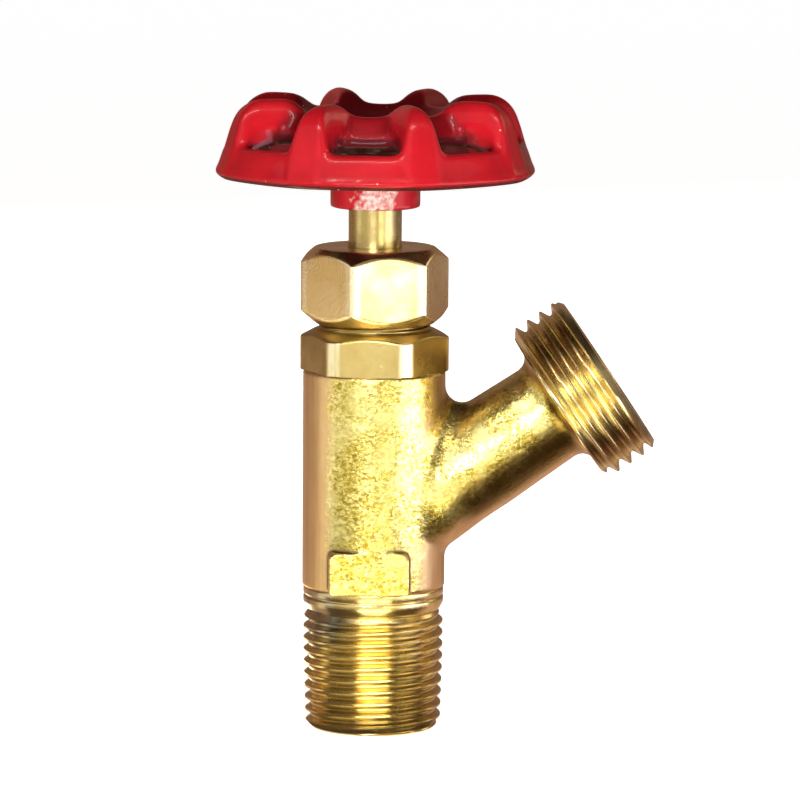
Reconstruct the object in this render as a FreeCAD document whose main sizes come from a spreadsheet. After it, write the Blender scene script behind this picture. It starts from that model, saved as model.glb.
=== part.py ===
import FreeCAD, Part
import math
import os
import re
import Sketcher

# Angle valve: a forged brass body with a tapered pipe thread below and a hose arm to the side, closed by a
# rubber disc on a rising stem. Millimetres and degrees. The origin is the centre of the inlet's end face, +Z
# runs up the stem, and the hose arm leans towards +X. Threads are plain here, at their crest or mean size.

SIZES = {
    # inlet, a half-inch tapered pipe thread
    "inlet_small_dia": 20.5,
    "inlet_full_dia": 21.2,
    "inlet_taper": 16,
    "inlet_chamfer": 0.9,
    "inlet_thread_length": 17.5,
    "inlet_bore": 13.0,
    # turned collar and cast barrel
    "thread_runout": 0.7,
    "collar_height": 3.5,
    "collar_chamfer": 1.0,
    "collar_dia": 21.3,
    "body_dia": 21.6,
    "barrel_rise": 24.3,
    "pad_width": 12.1,
    "pad_height": 6.4,
    "pad_shift": -1.0,
    # seat and chamber
    "seat_rise": 5.3,
    "seat_bore": 11.0,
    "seat_face_dia": 12.6,
    "seat_lip": 1.4,
    "seat_slope": 0.5,
    "seat_web": 3.6,
    "chamber_dia": 16.1,
    "gasket_well_dia": 19.0,
    "gasket_thickness": 1.2,
    # hose arm, a three-quarter-inch hose thread
    "arm_rise": 3.4,
    "arm_angle": 34,
    "arm_length": 42.9,
    "arm_root_dia": 17.4,
    "arm_neck_dia": 15.6,
    "arm_passage": 11.0,
    "arm_bore": 12.0,
    "arm_bore_depth": 18.0,
    "crotch_fillet": 2.6,
    "hose_dia": 26.99,
    "hose_collar": 9.2,
    "hose_back": 1.2,
    "hose_nose": 1.1,
    "neck_fillet": 2.1,
    "mouth_dia": 13.8,
    "mouth_chamfer": 0.9,
    # bonnet
    "thread_gap": 0.05,
    "spigot_length": 10.2,
    "bonnet_hex": 20.4,
    "bonnet_hex_turn": 53.6,
    "bonnet_turned_dia": 22.5,
    "bonnet_height": 6.4,
    "bonnet_shoulder_dia": 17.6,
    "bonnet_shoulder_drop": 1.3,
    "neck_dia": 17.2,
    "neck_length": 8.9,
    "box_dia": 13.0,
    "box_depth": 6.5,
    "backseat_rise": 2.5,
    # packing nut and packing
    "nut_gap": 0.8,
    "nut_hex": 19.9,
    "nut_hex_turn": 10.5,
    "nut_height": 11.5,
    "nut_top_dia": 18.2,
    "nut_bottom_dia": 17.9,
    "nut_chamfer_angle": 40,
    "nut_web": 2.5,
    "packing_gap": 0.02,
    "packing_washer_thickness": 0.8,
    "packing_ring_height": 1.5,
    "gland_head_dia": 15.6,
    "gland_head": 0.7,
    # stem
    "stem_dia": 8.05,
    "stem_gap": 0.07,
    "stem_thread_dia": 11.0,
    "stem_thread_start": 1.2,
    "stem_lead": 2.1167,
    "stem_turns": 2.75,
    "backseat_gap": 0.28,
    "hub_rise": 6.0,
    "square_side": 5.6,
    "square_length": 9.3,
    "square_gap": 0.03,
    "tenon_dia": 6.2,
    "tenon_gap": 0.05,
    "tenon_length": 5.1,
    # disc holder, seat disc and their fasteners
    "seat_gap": 0.1,
    "disc_dia": 13.4,
    "disc_thickness": 3.0,
    "disc_gap": 0.05,
    "cup_depth": 1.8,
    "cup_dia": 15.2,
    "cup_height": 4.2,
    "holder_floor": 4.1,
    "holder_boss_dia": 10.2,
    "holder_boss_height": 10.9,
    "retainer_height": 2.4,
    "retainer_section": 0.8,
    "retainer_bite": 0.5,
    "retainer_gap": 0.15,
    "retainer_opening": 36,
    "disc_screw_dia": 3.2,
    "disc_screw_head_dia": 5.8,
    "disc_screw_head": 1.6,
    "disc_screw_bite": 3.2,
    "disc_washer_dia": 7.8,
    "disc_washer_thickness": 0.7,
    "screw_gap": 0.03,
    "slot_width": 0.9,
    "slot_depth": 0.8,
    # handwheel, heights above the hub's lower end
    "hub_dia": 13.6,
    "wheel_turn": 16.4,
    "wheel_lobes": 8,
    "wheel_wall": 1.8,
    "dish_floor": 10.1,
    "dish_floor_dia": 15.0,
    "dish_slope": 50.4,
    "valley_height": 14.7,
    "valley_dia": 25.4,
    "ramp_height": 11.6,
    "ramp_dia": 30.0,
    "skirt_height": 9.7,
    "skirt_dia": 46.2,
    "rim_height": 5.8,
    "rim_dia": 48.8,
    "rim_lip": 1.2,
    "crest_height": 16.8,
    "crest_dia": 35.2,
    "crest_inner_radius": 4.0,
    "crest_outer_radius": 4.6,
    "crest_skirt_slope": 17.3,
    "lobe_top_radius": 2.8,
    "lobe_end_width": 9.6,
    "lobe_end_radius": 2.2,
    "lobe_draft": 16,
    "lobe_hollow": 5.0,
    "window_inner_width": 7.8,
    "window_outer_width": 9.4,
    "window_reach_dia": 42.4,
    "window_margin": 0.3,
    "wheel_washer_dia": 10.0,
    "wheel_washer_thickness": 0.8,
    "wheel_screw_dia": 4.0,
    "wheel_screw_bite": 8.0,
    "wheel_screw_head_dia": 8.4,
    "wheel_screw_head": 2.1,
    "wheel_slot_width": 1.1,
    "wheel_slot_depth": 1.1,
}

doc = FreeCAD.newDocument("angle_valve")
sheet = doc.addObject("Spreadsheet::Sheet", "sizes")
for row, (alias, number) in enumerate(SIZES.items(), start=1):
    sheet.set(f"A{row}", alias)
    sheet.set(f"B{row}", str(number))
    sheet.setAlias(f"B{row}", alias)
doc.recompute()

# Heights that several pieces share, each built on the one below it.
CASTING_BASE = "inlet_thread_length + thread_runout + collar_height"
SEAT = f"{CASTING_BASE} + seat_rise"
ARM = f"{SEAT} + arm_rise"
SEAM = f"{ARM} + barrel_rise"
BOX_FLOOR = f"{SEAM} + bonnet_height + neck_length - box_depth"
PACKING_TOP = f"{BOX_FLOOR} + packing_washer_thickness + 3 * packing_ring_height"
NUT_BASE = f"{SEAM} + bonnet_height + nut_gap"
HUB_BASE = f"{NUT_BASE} + nut_height + hub_rise"
DISC_BASE = f"{SEAT} + seat_gap"
CUP_RIM = f"{DISC_BASE} + disc_thickness - cup_depth"
STEM_FOOT = f"{CUP_RIM} + cup_depth + holder_floor + tenon_gap"

UP = FreeCAD.Vector(0, 0, 1)
CENTRE = FreeCAD.Vector(0, 0, 0)
pieces = []


def bound(text):
    """Write a formula of size names as one that reads the sheet's cells."""
    def named(word):
        return "sizes." + word.group() if word.group() in SIZES else word.group()

    return re.sub(r"[a-z_]+", named, text)


def size(alias):
    """The number in the sheet's cell of that name."""
    return float(sheet.get(alias))


def new_body(name, height=None):
    """A body with its own label, lifted to the height that the formula gives."""
    body = doc.addObject("PartDesign::Body", name)
    body.Label = name
    if height:
        body.setExpression("Placement.Base.z", bound(height))
    pieces.append(body)
    return body


def sketch_on(body, name, role="XZ_Plane", lift=None):
    """A sketch on one of the body's own planes, lifted off that plane by a formula."""
    sketch = body.newObject("Sketcher::SketchObject", name)
    plane = [feature for feature in body.Origin.OriginFeatures if feature.Role == role][0]
    sketch.AttachmentSupport = [(plane, "")]
    sketch.MapMode = "FlatFace"
    if lift:
        sketch.setExpression("AttachmentOffset.Base.z", bound(lift))
    return sketch


def outline(sketch, corners, arcs=None):
    """A closed outline through corners given as formulas.

    arcs maps a corner's number to the radius of the arc that leaves it and the side it bulges to.
    """
    first = sketch.GeometryCount
    for across, up in corners:
        point = sketch.addGeometry(Part.Point(FreeCAD.Vector(1, 1, 0)), True)
        for kind, formula in (("DistanceX", across), ("DistanceY", up)):
            number = sketch.addConstraint(Sketcher.Constraint(kind, -1, 1, point, 1, 1.0))
            sketch.setExpression(f"Constraints[{number}]", bound(formula))
    doc.recompute()
    places = [sketch.getPoint(first + i, 1) for i in range(len(corners))]
    for i, start in enumerate(places):
        after = (i + 1) % len(places)
        end = places[after]
        if arcs and i in arcs:
            radius, side = arcs[i]
            chord = end - start
            bulge = FreeCAD.Vector(-chord.y, chord.x, 0) * (0.2 * side)
            edge = sketch.addGeometry(Part.Arc(start, (start + end) * 0.5 + bulge, end), False)
            gaps = [sketch.getPoint(edge, which).distanceToPoint(start) for which in (1, 2)]
            ends = (1, 2) if gaps[0] < gaps[1] else (2, 1)
        else:
            edge = sketch.addGeometry(Part.LineSegment(start, end), False)
            ends = (1, 2)
        sketch.addConstraint(Sketcher.Constraint("Coincident", edge, ends[0], first + i, 1))
        sketch.addConstraint(Sketcher.Constraint("Coincident", edge, ends[1], first + after, 1))
        if arcs and i in arcs:
            number = sketch.addConstraint(Sketcher.Constraint("Radius", edge, 1.0))
            sketch.setExpression(f"Constraints[{number}]", bound(radius))
    doc.recompute()


def circle(sketch, radius):
    """A circle about the sketch's origin, with its radius as a formula."""
    edge = sketch.addGeometry(Part.Circle(CENTRE, UP, 1.0), False)
    sketch.addConstraint(Sketcher.Constraint("Coincident", edge, 3, -1, 1))
    number = sketch.addConstraint(Sketcher.Constraint("Radius", edge, 1.0))
    sketch.setExpression(f"Constraints[{number}]", bound(radius))


def hexagon(sketch, across, turn):
    """A hexagon by its width across flats, with its first corner at the given turn."""
    corner = f"{across} / 2 / cos(30)"
    turns = [f"({turn} + {60 * side})" for side in range(6)]
    outline(sketch, [(f"{corner} * cos{angle}", f"{corner} * sin{angle}") for angle in turns])


FOUR_CORNERS = ((1, 1), (-1, 1), (-1, -1), (1, -1))


def square(sketch, side):
    """A square about the sketch's origin."""
    outline(sketch, [(f"{x} * ({side}) / 2", f"{y} * ({side}) / 2") for x, y in FOUR_CORNERS])


def turned(body, kind, sketch, axis="V_Axis", angle=360):
    """A Revolution or a Groove of the sketch about one of its axes."""
    feature = body.newObject(f"PartDesign::{kind}", f"{kind.lower()}_{sketch.Name}")
    feature.Profile = sketch
    feature.ReferenceAxis = (sketch, [axis])
    feature.Angle = angle
    return feature


def pushed(body, kind, sketch, length, midplane=False, reverse=False):
    """A Pad or a Pocket of the sketch, as deep as the formula says."""
    feature = body.newObject(f"PartDesign::{kind}", f"{kind.lower()}_{sketch.Name}")
    feature.Profile = sketch
    feature.setExpression("Length", bound(length))
    feature.Midplane = midplane
    feature.Reversed = reverse
    return feature


def ring(name, height, inner, outer, thickness):
    """A plain turned ring, placed at a height."""
    body = new_body(name, height)
    section = sketch_on(body, name + "_section")
    outline(section, [(inner, "0"), (outer, "0"), (outer, thickness), (inner, thickness)])
    turned(body, "Revolution", section)
    return body


def hex_flats(body, name, across, turn, top, depth):
    """Mills six flats into a turned blank, downwards from the given height."""
    sketch = sketch_on(body, name, "XY_Plane", top)
    circle(sketch, f"{across}")
    hexagon(sketch, across, turn)
    pushed(body, "Pocket", sketch, depth)


def slotted_head(body, name, top, head_dia, width, depth):
    """Saws a screwdriver slot across a head whose top is at the given height."""
    sketch = sketch_on(body, name, "XY_Plane", top)
    outline(sketch, [(f"{x} * {head_dia}", f"{y} * {width} / 2") for x, y in FOUR_CORNERS])
    return pushed(body, "Pocket", sketch, depth)


# Valve body: one brass forging, then machined. Barrel, wrench pads and hose arm first, waterways after.

def arm_sketch(body, name):
    """A sketch whose H axis runs along the arm from where it crosses the barrel's axis."""
    sketch = sketch_on(body, name)
    sketch.setExpression("AttachmentOffset.Base.y", bound(ARM))
    sketch.setExpression("AttachmentOffset.Rotation.Angle", bound("arm_angle"))
    return sketch


valve_body = new_body("valve_body")

barrel = sketch_on(valve_body, "barrel")
outline(barrel, [
    ("0", "0"),
    ("inlet_small_dia / 2 - inlet_chamfer", "0"),
    ("inlet_small_dia / 2 + inlet_chamfer / inlet_taper / 2", "inlet_chamfer"),
    ("inlet_full_dia / 2", "(inlet_full_dia - inlet_small_dia) * inlet_taper"),
    ("inlet_full_dia / 2", "inlet_thread_length"),
    ("collar_dia / 2 - collar_chamfer / 2", "inlet_thread_length + thread_runout"),
    ("collar_dia / 2", "inlet_thread_length + thread_runout + collar_chamfer"),
    ("collar_dia / 2", CASTING_BASE),
    ("body_dia / 2", CASTING_BASE),
    ("body_dia / 2", SEAM),
    ("0", SEAM),
])
turned(valve_body, "Revolution", barrel)

arm = arm_sketch(valve_body, "arm")
outline(arm, [
    ("0", "0"),
    ("0", "arm_root_dia / 2"),
    ("arm_length - hose_collar - neck_fillet", "arm_neck_dia / 2"),
    ("arm_length - hose_collar", "arm_neck_dia / 2 + neck_fillet"),
    ("arm_length - hose_collar + hose_back", "hose_dia / 2"),
    ("arm_length - hose_nose", "hose_dia / 2"),
    ("arm_length", "hose_dia / 2 - hose_nose"),
    ("arm_length", "0"),
], arcs={2: ("neck_fillet * 1.04", -1)})
turned(valve_body, "Revolution", arm, "H_Axis")
doc.recompute()

pads = sketch_on(valve_body, "pads")
outline(pads, [
    ("pad_shift - pad_width / 2", CASTING_BASE),
    ("pad_shift + pad_width / 2", CASTING_BASE),
    ("pad_shift + pad_width / 2", f"{CASTING_BASE} + pad_height"),
    ("pad_shift - pad_width / 2", f"{CASTING_BASE} + pad_height"),
])
pad_blocks = pushed(valve_body, "Pad", pads, "body_dia", midplane=True)
doc.recompute()

crotch = valve_body.newObject("PartDesign::Fillet", "crotch")
crotch.Base = (pad_blocks, [
    f"Edge{number}"
    for number, edge in enumerate(pad_blocks.Shape.Edges, start=1)
    if not isinstance(edge.Curve, (Part.Line, Part.Circle))
])
crotch.setExpression("Radius", bound("crotch_fillet"))
doc.recompute()

waterway = sketch_on(valve_body, "waterway")
outline(waterway, [
    ("0", "-1"),
    ("inlet_bore / 2", "-1"),
    ("inlet_bore / 2", f"{SEAT} - seat_web"),
    ("seat_bore / 2", f"{SEAT} - seat_web + (inlet_bore - seat_bore) / 2"),
    ("seat_bore / 2", SEAT),
    ("seat_face_dia / 2", SEAT),
    ("seat_face_dia / 2 + seat_slope", f"{SEAT} - seat_lip"),
    ("chamber_dia / 2", f"{SEAT} - seat_lip"),
    ("chamber_dia / 2", f"{SEAM} - gasket_thickness"),
    ("gasket_well_dia / 2", f"{SEAM} - gasket_thickness"),
    ("gasket_well_dia / 2", f"{SEAM} + 1"),
    ("0", f"{SEAM} + 1"),
])
turned(valve_body, "Groove", waterway)

outlet = arm_sketch(valve_body, "outlet")
passage_start = "(chamber_dia / 2 - 0.4 - arm_passage / 2 * sin(arm_angle)) / cos(arm_angle)"
outline(outlet, [
    (passage_start, "0"),
    (passage_start, "arm_passage / 2"),
    ("arm_length - mouth_chamfer - arm_bore_depth", "arm_passage / 2"),
    ("arm_length - mouth_chamfer - arm_bore_depth", "arm_bore / 2"),
    ("arm_length - mouth_chamfer", "arm_bore / 2"),
    ("arm_length", "mouth_dia / 2"),
    ("arm_length + 1", "mouth_dia / 2"),
    ("arm_length + 1", "0"),
])
turned(valve_body, "Groove", outlet, "H_Axis")

# Bonnet: turned from hexagon bar. Its spigot screws into the body, its neck carries the packing nut.

bonnet = new_body("bonnet", SEAM)
bonnet_blank = sketch_on(bonnet, "bonnet_blank")
outline(bonnet_blank, [
    ("stem_thread_dia / 2 + thread_gap", "-spigot_length"),
    ("chamber_dia / 2 - thread_gap", "-spigot_length"),
    ("chamber_dia / 2 - thread_gap", "0"),
    ("bonnet_turned_dia / 2", "0"),
    ("bonnet_turned_dia / 2", "bonnet_height - bonnet_shoulder_drop"),
    ("bonnet_shoulder_dia / 2", "bonnet_height"),
    ("neck_dia / 2", "bonnet_height"),
    ("neck_dia / 2", "bonnet_height + neck_length"),
    ("box_dia / 2", "bonnet_height + neck_length"),
    ("box_dia / 2", "bonnet_height + neck_length - box_depth"),
    ("stem_dia / 2 + stem_gap", "bonnet_height + neck_length - box_depth"),
    ("stem_dia / 2 + stem_gap", "backseat_rise + (stem_thread_dia - stem_dia) / 2"),
    ("stem_thread_dia / 2 + thread_gap", "backseat_rise"),
])
turned(bonnet, "Revolution", bonnet_blank)
hex_flats(bonnet, "bonnet_flats", "bonnet_hex", "bonnet_hex_turn", "bonnet_height", "bonnet_height")

ring("bonnet_gasket", f"{SEAM} - gasket_thickness",
     "chamber_dia / 2 + thread_gap", "gasket_well_dia / 2 - thread_gap", "gasket_thickness")

# Packing nut, gland and packing: the nut presses the gland down on three graphite rings round the stem.

packing_nut = new_body("packing_nut", NUT_BASE)
nut_blank = sketch_on(packing_nut, "nut_blank")
nut_corner = "nut_hex / 2 / cos(30)"
outline(nut_blank, [
    ("neck_dia / 2 + packing_gap", "0"),
    ("nut_bottom_dia / 2", "0"),
    (nut_corner, f"({nut_corner} - nut_bottom_dia / 2) * tan(nut_chamfer_angle)"),
    (nut_corner, f"nut_height - ({nut_corner} - nut_top_dia / 2) * tan(nut_chamfer_angle)"),
    ("nut_top_dia / 2", "nut_height"),
    ("stem_dia / 2 + stem_gap", "nut_height"),
    ("stem_dia / 2 + stem_gap", "nut_height - nut_web"),
    ("neck_dia / 2 + packing_gap", "nut_height - nut_web"),
])
turned(packing_nut, "Revolution", nut_blank)
hex_flats(packing_nut, "nut_flats", "nut_hex", "nut_hex_turn", "nut_height", "nut_height")

ring("packing_washer", BOX_FLOOR,
     "stem_dia / 2 + stem_gap", "box_dia / 2 - packing_gap", "packing_washer_thickness")
for place, word in enumerate(("lower", "middle", "upper")):
    ring(f"packing_ring_{word}", f"{BOX_FLOOR} + packing_washer_thickness + {place} * packing_ring_height",
         "stem_dia / 2 + stem_gap", "box_dia / 2 - packing_gap", "packing_ring_height")

packing_gland = new_body("packing_gland", PACKING_TOP)
gland_height = f"({NUT_BASE} + nut_height - nut_web - ({PACKING_TOP}))"
gland = sketch_on(packing_gland, "gland")
outline(gland, [
    ("stem_dia / 2 + stem_gap", "0"),
    ("box_dia / 2 - packing_gap", "0"),
    ("box_dia / 2 - packing_gap", f"{gland_height} - gland_head"),
    ("gland_head_dia / 2", f"{gland_height} - gland_head"),
    ("gland_head_dia / 2", gland_height),
    ("stem_dia / 2 + stem_gap", gland_height),
])
turned(packing_gland, "Revolution", gland)

# Disc holder and seat disc: they rise with the stem but don't turn with it.

disc_holder = new_body("disc_holder", CUP_RIM)
holder = sketch_on(disc_holder, "holder")
outline(holder, [
    ("0", "cup_depth + disc_screw_bite + screw_gap"),
    ("disc_screw_dia / 2 + screw_gap", "cup_depth + disc_screw_bite + screw_gap"),
    ("disc_screw_dia / 2 + screw_gap", "cup_depth"),
    ("disc_dia / 2 + disc_gap", "cup_depth"),
    ("disc_dia / 2 + disc_gap", "0"),
    ("cup_dia / 2", "0"),
    ("cup_dia / 2", "cup_height"),
    ("holder_boss_dia / 2", "cup_height"),
    ("holder_boss_dia / 2", "holder_boss_height"),
    ("tenon_dia / 2 + tenon_gap", "holder_boss_height"),
    ("tenon_dia / 2 + tenon_gap", "cup_depth + holder_floor + retainer_height + retainer_section"),
    ("tenon_dia / 2 + retainer_bite", "cup_depth + holder_floor + retainer_height + retainer_section"),
    ("tenon_dia / 2 + retainer_bite", "cup_depth + holder_floor + retainer_height"),
    ("tenon_dia / 2 + tenon_gap", "cup_depth + holder_floor + retainer_height"),
    ("tenon_dia / 2 + tenon_gap", "cup_depth + holder_floor"),
    ("0", "cup_depth + holder_floor"),
])
turned(disc_holder, "Revolution", holder)

disc_retainer = new_body("disc_retainer", f"{CUP_RIM} + cup_depth + holder_floor + retainer_height")
split_ring = sketch_on(disc_retainer, "split_ring")
outline(split_ring, [
    ("tenon_dia / 2 - retainer_gap", "0"),
    ("tenon_dia / 2 + retainer_bite - tenon_gap", "0"),
    ("tenon_dia / 2 + retainer_bite - tenon_gap", "retainer_section"),
    ("tenon_dia / 2 - retainer_gap", "retainer_section"),
])
turned(disc_retainer, "Revolution", split_ring, angle=360 - size("retainer_opening"))

ring("seat_disc", DISC_BASE, "disc_screw_dia / 2 + screw_gap", "disc_dia / 2", "disc_thickness")
ring("seat_disc_washer", f"{DISC_BASE} - disc_washer_thickness",
     "disc_screw_dia / 2 + screw_gap", "disc_washer_dia / 2", "disc_washer_thickness")

seat_disc_screw = new_body("seat_disc_screw", f"{DISC_BASE} - disc_washer_thickness - disc_screw_head")
disc_screw = sketch_on(seat_disc_screw, "disc_screw")
disc_screw_top = "disc_screw_head + disc_washer_thickness + disc_thickness + disc_screw_bite"
outline(disc_screw, [
    ("0", "0"),
    ("disc_screw_head_dia / 2", "0"),
    ("disc_screw_head_dia / 2", "disc_screw_head"),
    ("disc_screw_dia / 2", "disc_screw_head"),
    ("disc_screw_dia / 2", disc_screw_top),
    ("0", disc_screw_top),
])
turned(seat_disc_screw, "Revolution", disc_screw)
doc.recompute()
slotted_head(seat_disc_screw, "disc_screw_slot", "slot_depth", "disc_screw_head_dia", "slot_width",
             "slot_depth")

# Stem: turned brass, with a tenon foot, the lifting thread, a back seat and a square end for the wheel.

thread_top = f"({SEAM} + backseat_rise - stem_lead * stem_turns - backseat_gap - ({STEM_FOOT}))"
shoulder = f"({HUB_BASE} - ({STEM_FOOT}))"
ring_middle = "(retainer_height + retainer_section / 2 - tenon_gap)"
groove_half = "(retainer_section / 2 + retainer_gap)"

stem = new_body("stem", STEM_FOOT)
stem.setExpression("Placement.Rotation.Angle", bound("wheel_turn"))
shaft = sketch_on(stem, "shaft")
outline(shaft, [
    ("0", "0"),
    ("tenon_dia / 2", "0"),
    ("tenon_dia / 2", f"{ring_middle} - {groove_half}"),
    ("tenon_dia / 2 - retainer_gap * 2.4", f"{ring_middle} - {groove_half}"),
    ("tenon_dia / 2 - retainer_gap * 2.4", f"{ring_middle} + {groove_half}"),
    ("tenon_dia / 2", f"{ring_middle} + {groove_half}"),
    ("tenon_dia / 2", "tenon_length"),
    ("stem_dia / 2", "tenon_length"),
    ("stem_dia / 2", "tenon_length + stem_thread_start"),
    ("stem_thread_dia / 2", "tenon_length + stem_thread_start"),
    ("stem_thread_dia / 2", thread_top),
    ("stem_dia / 2", f"{thread_top} + (stem_thread_dia - stem_dia) / 2"),
    ("stem_dia / 2", shoulder),
    ("0", shoulder),
])
turned(stem, "Revolution", shaft)
square_end = sketch_on(stem, "square_end", "XY_Plane", shoulder)
square(square_end, "square_side")
pushed(stem, "Pad", square_end, "square_length")
doc.recompute()
screw_hole = sketch_on(stem, "screw_hole", "XY_Plane", f"{shoulder} + square_length")
circle(screw_hole, "wheel_screw_dia / 2 + screw_gap")
pushed(stem, "Pocket", screw_hole, "wheel_screw_bite + square_length - dish_floor + wheel_screw_dia / 4")

# Handwheel: one casting. A skirted bowl with eight hollow lobes that stand round a dish, a window under
# each valley between the lobes, and a hub with a square hole.


def plane_point(across, up):
    return FreeCAD.Vector(across, 0, up)


def spun(wire_edges, angle=360, start=0):
    """The solid that a closed outline in the XZ plane sweeps about Z."""
    face = Part.Face(Part.Wire(wire_edges))
    solid = face.revolve(CENTRE, UP, angle)
    solid.rotate(CENTRE, UP, start)
    return solid


def path(points):
    """Straight edges through points, closed."""
    return [Part.makeLine(a, b) for a, b in zip(points, points[1:] + points[:1])]


def shifted_lines(points, distance):
    """The corners of an open polyline moved to its right by a distance."""
    lines = []
    for a, b in zip(points, points[1:]):
        along = (b - a).normalize()
        lines.append((a + FreeCAD.Vector(along.z, 0, -along.x) * distance, along))
    corners = [lines[0][0]]
    for (p, d), (q, e) in zip(lines, lines[1:]):
        corners.append(p + d * (((q.x - p.x) * e.z - (q.z - p.z) * e.x) / (d.x * e.z - d.z * e.x)))
    last, along = lines[-1]
    corners.append(last + along * (points[-1] - points[-2]).Length)
    return corners


def lobe_crest(inset):
    """Edges of the lobe's crest from the dish, over the top and down to the rim, moved inwards by inset."""
    slope = math.radians(size("dish_slope"))
    fall = math.radians(size("crest_skirt_slope"))
    inner = size("crest_inner_radius")
    outer = size("crest_outer_radius")
    dish_edge = plane_point(size("dish_floor_dia") / 2, size("dish_floor"))
    uphill = plane_point(math.cos(slope), math.sin(slope))
    into_wall = plane_point(math.sin(slope), -math.cos(slope))
    inner_up = size("crest_height") - inner
    inner_middle = plane_point(
        dish_edge.x + (inner + (inner_up - dish_edge.z) * math.cos(slope)) / math.sin(slope), inner_up)
    outer_middle = plane_point(size("crest_dia") / 2, size("crest_height") - outer)
    out_of_skirt = plane_point(math.cos(fall), math.sin(fall))
    downhill = plane_point(math.sin(fall), -math.cos(fall))
    inner -= inset
    outer -= inset
    top_start = inner_middle + UP * inner
    top_end = outer_middle + UP * outer
    rise_end = inner_middle - into_wall * inner
    rise_start = dish_edge + into_wall * inset
    fall_start = outer_middle + out_of_skirt * outer
    fall_end = fall_start + downhill * ((fall_start.z - size("rim_height")) / math.cos(fall))
    inner_halfway = inner_middle + plane_point(-math.sin(slope / 2), math.cos(slope / 2)) * inner
    half_turn = (math.pi / 2 + fall) / 2
    outer_halfway = outer_middle + plane_point(math.cos(half_turn), math.sin(half_turn)) * outer
    return [
        Part.makeLine(rise_start, rise_end),
        Part.Arc(rise_end, inner_halfway, top_start).toShape(),
        Part.makeLine(top_start, top_end),
        Part.Arc(top_end, outer_halfway, fall_start).toShape(),
        Part.makeLine(fall_start, fall_end),
    ]


def is_outer_corner(edge, outer_end, uphill):
    """True for the two long edges of the lobe's plan view at its outer end."""
    along = edge.Vertexes[1].Point - edge.Vertexes[0].Point
    if along.cross(uphill).Length > 0.001:
        return False
    from_end = edge.Vertexes[0].Point - outer_end
    from_end -= uphill * from_end.dot(uphill)
    return from_end.Length < size("lobe_end_width") * 0.6


def lobe_shape():
    """One lobe: side view, rounded front view and rounded plan view, each drawn and then intersected."""
    crest = lobe_crest(0)
    inner_end = crest[0].Vertexes[0].Point
    outer_end = crest[-1].Vertexes[-1].Point
    widest = size("lobe_end_width")
    side_view = Part.Face(Part.Wire(crest + [
        Part.makeLine(outer_end, plane_point(inner_end.x, outer_end.z)),
        Part.makeLine(plane_point(inner_end.x, outer_end.z), inner_end),
    ]))
    side_view.translate(FreeCAD.Vector(0, -widest / 2, 0))
    side = side_view.extrude(FreeCAD.Vector(0, widest, 0))

    draft = math.radians(size("lobe_draft"))
    radius = size("lobe_top_radius")
    top = size("crest_height")
    shoulder = top - radius + radius * math.sin(draft)
    half_top = radius * math.cos(draft)
    half_foot = half_top + (shoulder - outer_end.z) * math.tan(draft)
    right_foot = FreeCAD.Vector(0, half_foot, outer_end.z)
    right_top = FreeCAD.Vector(0, half_top, shoulder)
    left_top = FreeCAD.Vector(0, -half_top, shoulder)
    left_foot = FreeCAD.Vector(0, -half_foot, outer_end.z)
    front_view = Part.Face(Part.Wire([
        Part.makeLine(right_foot, right_top),
        Part.Arc(right_top, FreeCAD.Vector(0, 0, top), left_top).toShape(),
        Part.makeLine(left_top, left_foot),
        Part.makeLine(left_foot, right_foot),
    ]))
    front = front_view.extrude(FreeCAD.Vector(size("rim_dia"), 0, 0))

    uphill = (crest[-1].Vertexes[0].Point - outer_end).normalize()
    outwards = plane_point(uphill.z, -uphill.x)
    end_radius = size("lobe_end_radius")
    aside = FreeCAD.Vector(0, widest / 2, 0)
    inwards = outwards * -size("rim_dia")
    middle = outer_end - uphill * top
    plan_view = Part.Face(Part.Wire(path([
        middle + aside + inwards, middle + aside, middle - aside, middle - aside + inwards,
    ])))
    end = plan_view.extrude(uphill * (3 * top))
    end = end.makeFillet(end_radius, [edge for edge in end.Edges if is_outer_corner(edge, outer_end, uphill)])
    return side.common(front).common(end)


def window_cutter():
    """The tapering slot through the ramp of one valley."""
    inner = size("ramp_dia") / 2 + size("window_margin")
    outer = size("window_reach_dia") / 2
    near = size("window_inner_width") / 2
    far = size("window_outer_width") / 2
    corners = [(inner, -near), (outer, -far), (outer, far), (inner, near)]
    floor = Part.Face(Part.Wire(path([FreeCAD.Vector(x, y, size("rim_height")) for x, y in corners])))
    slot = floor.extrude(UP * (size("ramp_height") - size("rim_height") + 1))
    upright = [edge for edge in slot.Edges if abs(edge.tangentAt(edge.FirstParameter).z) > 0.9]
    return slot.makeFillet(0.9, upright)


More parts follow.
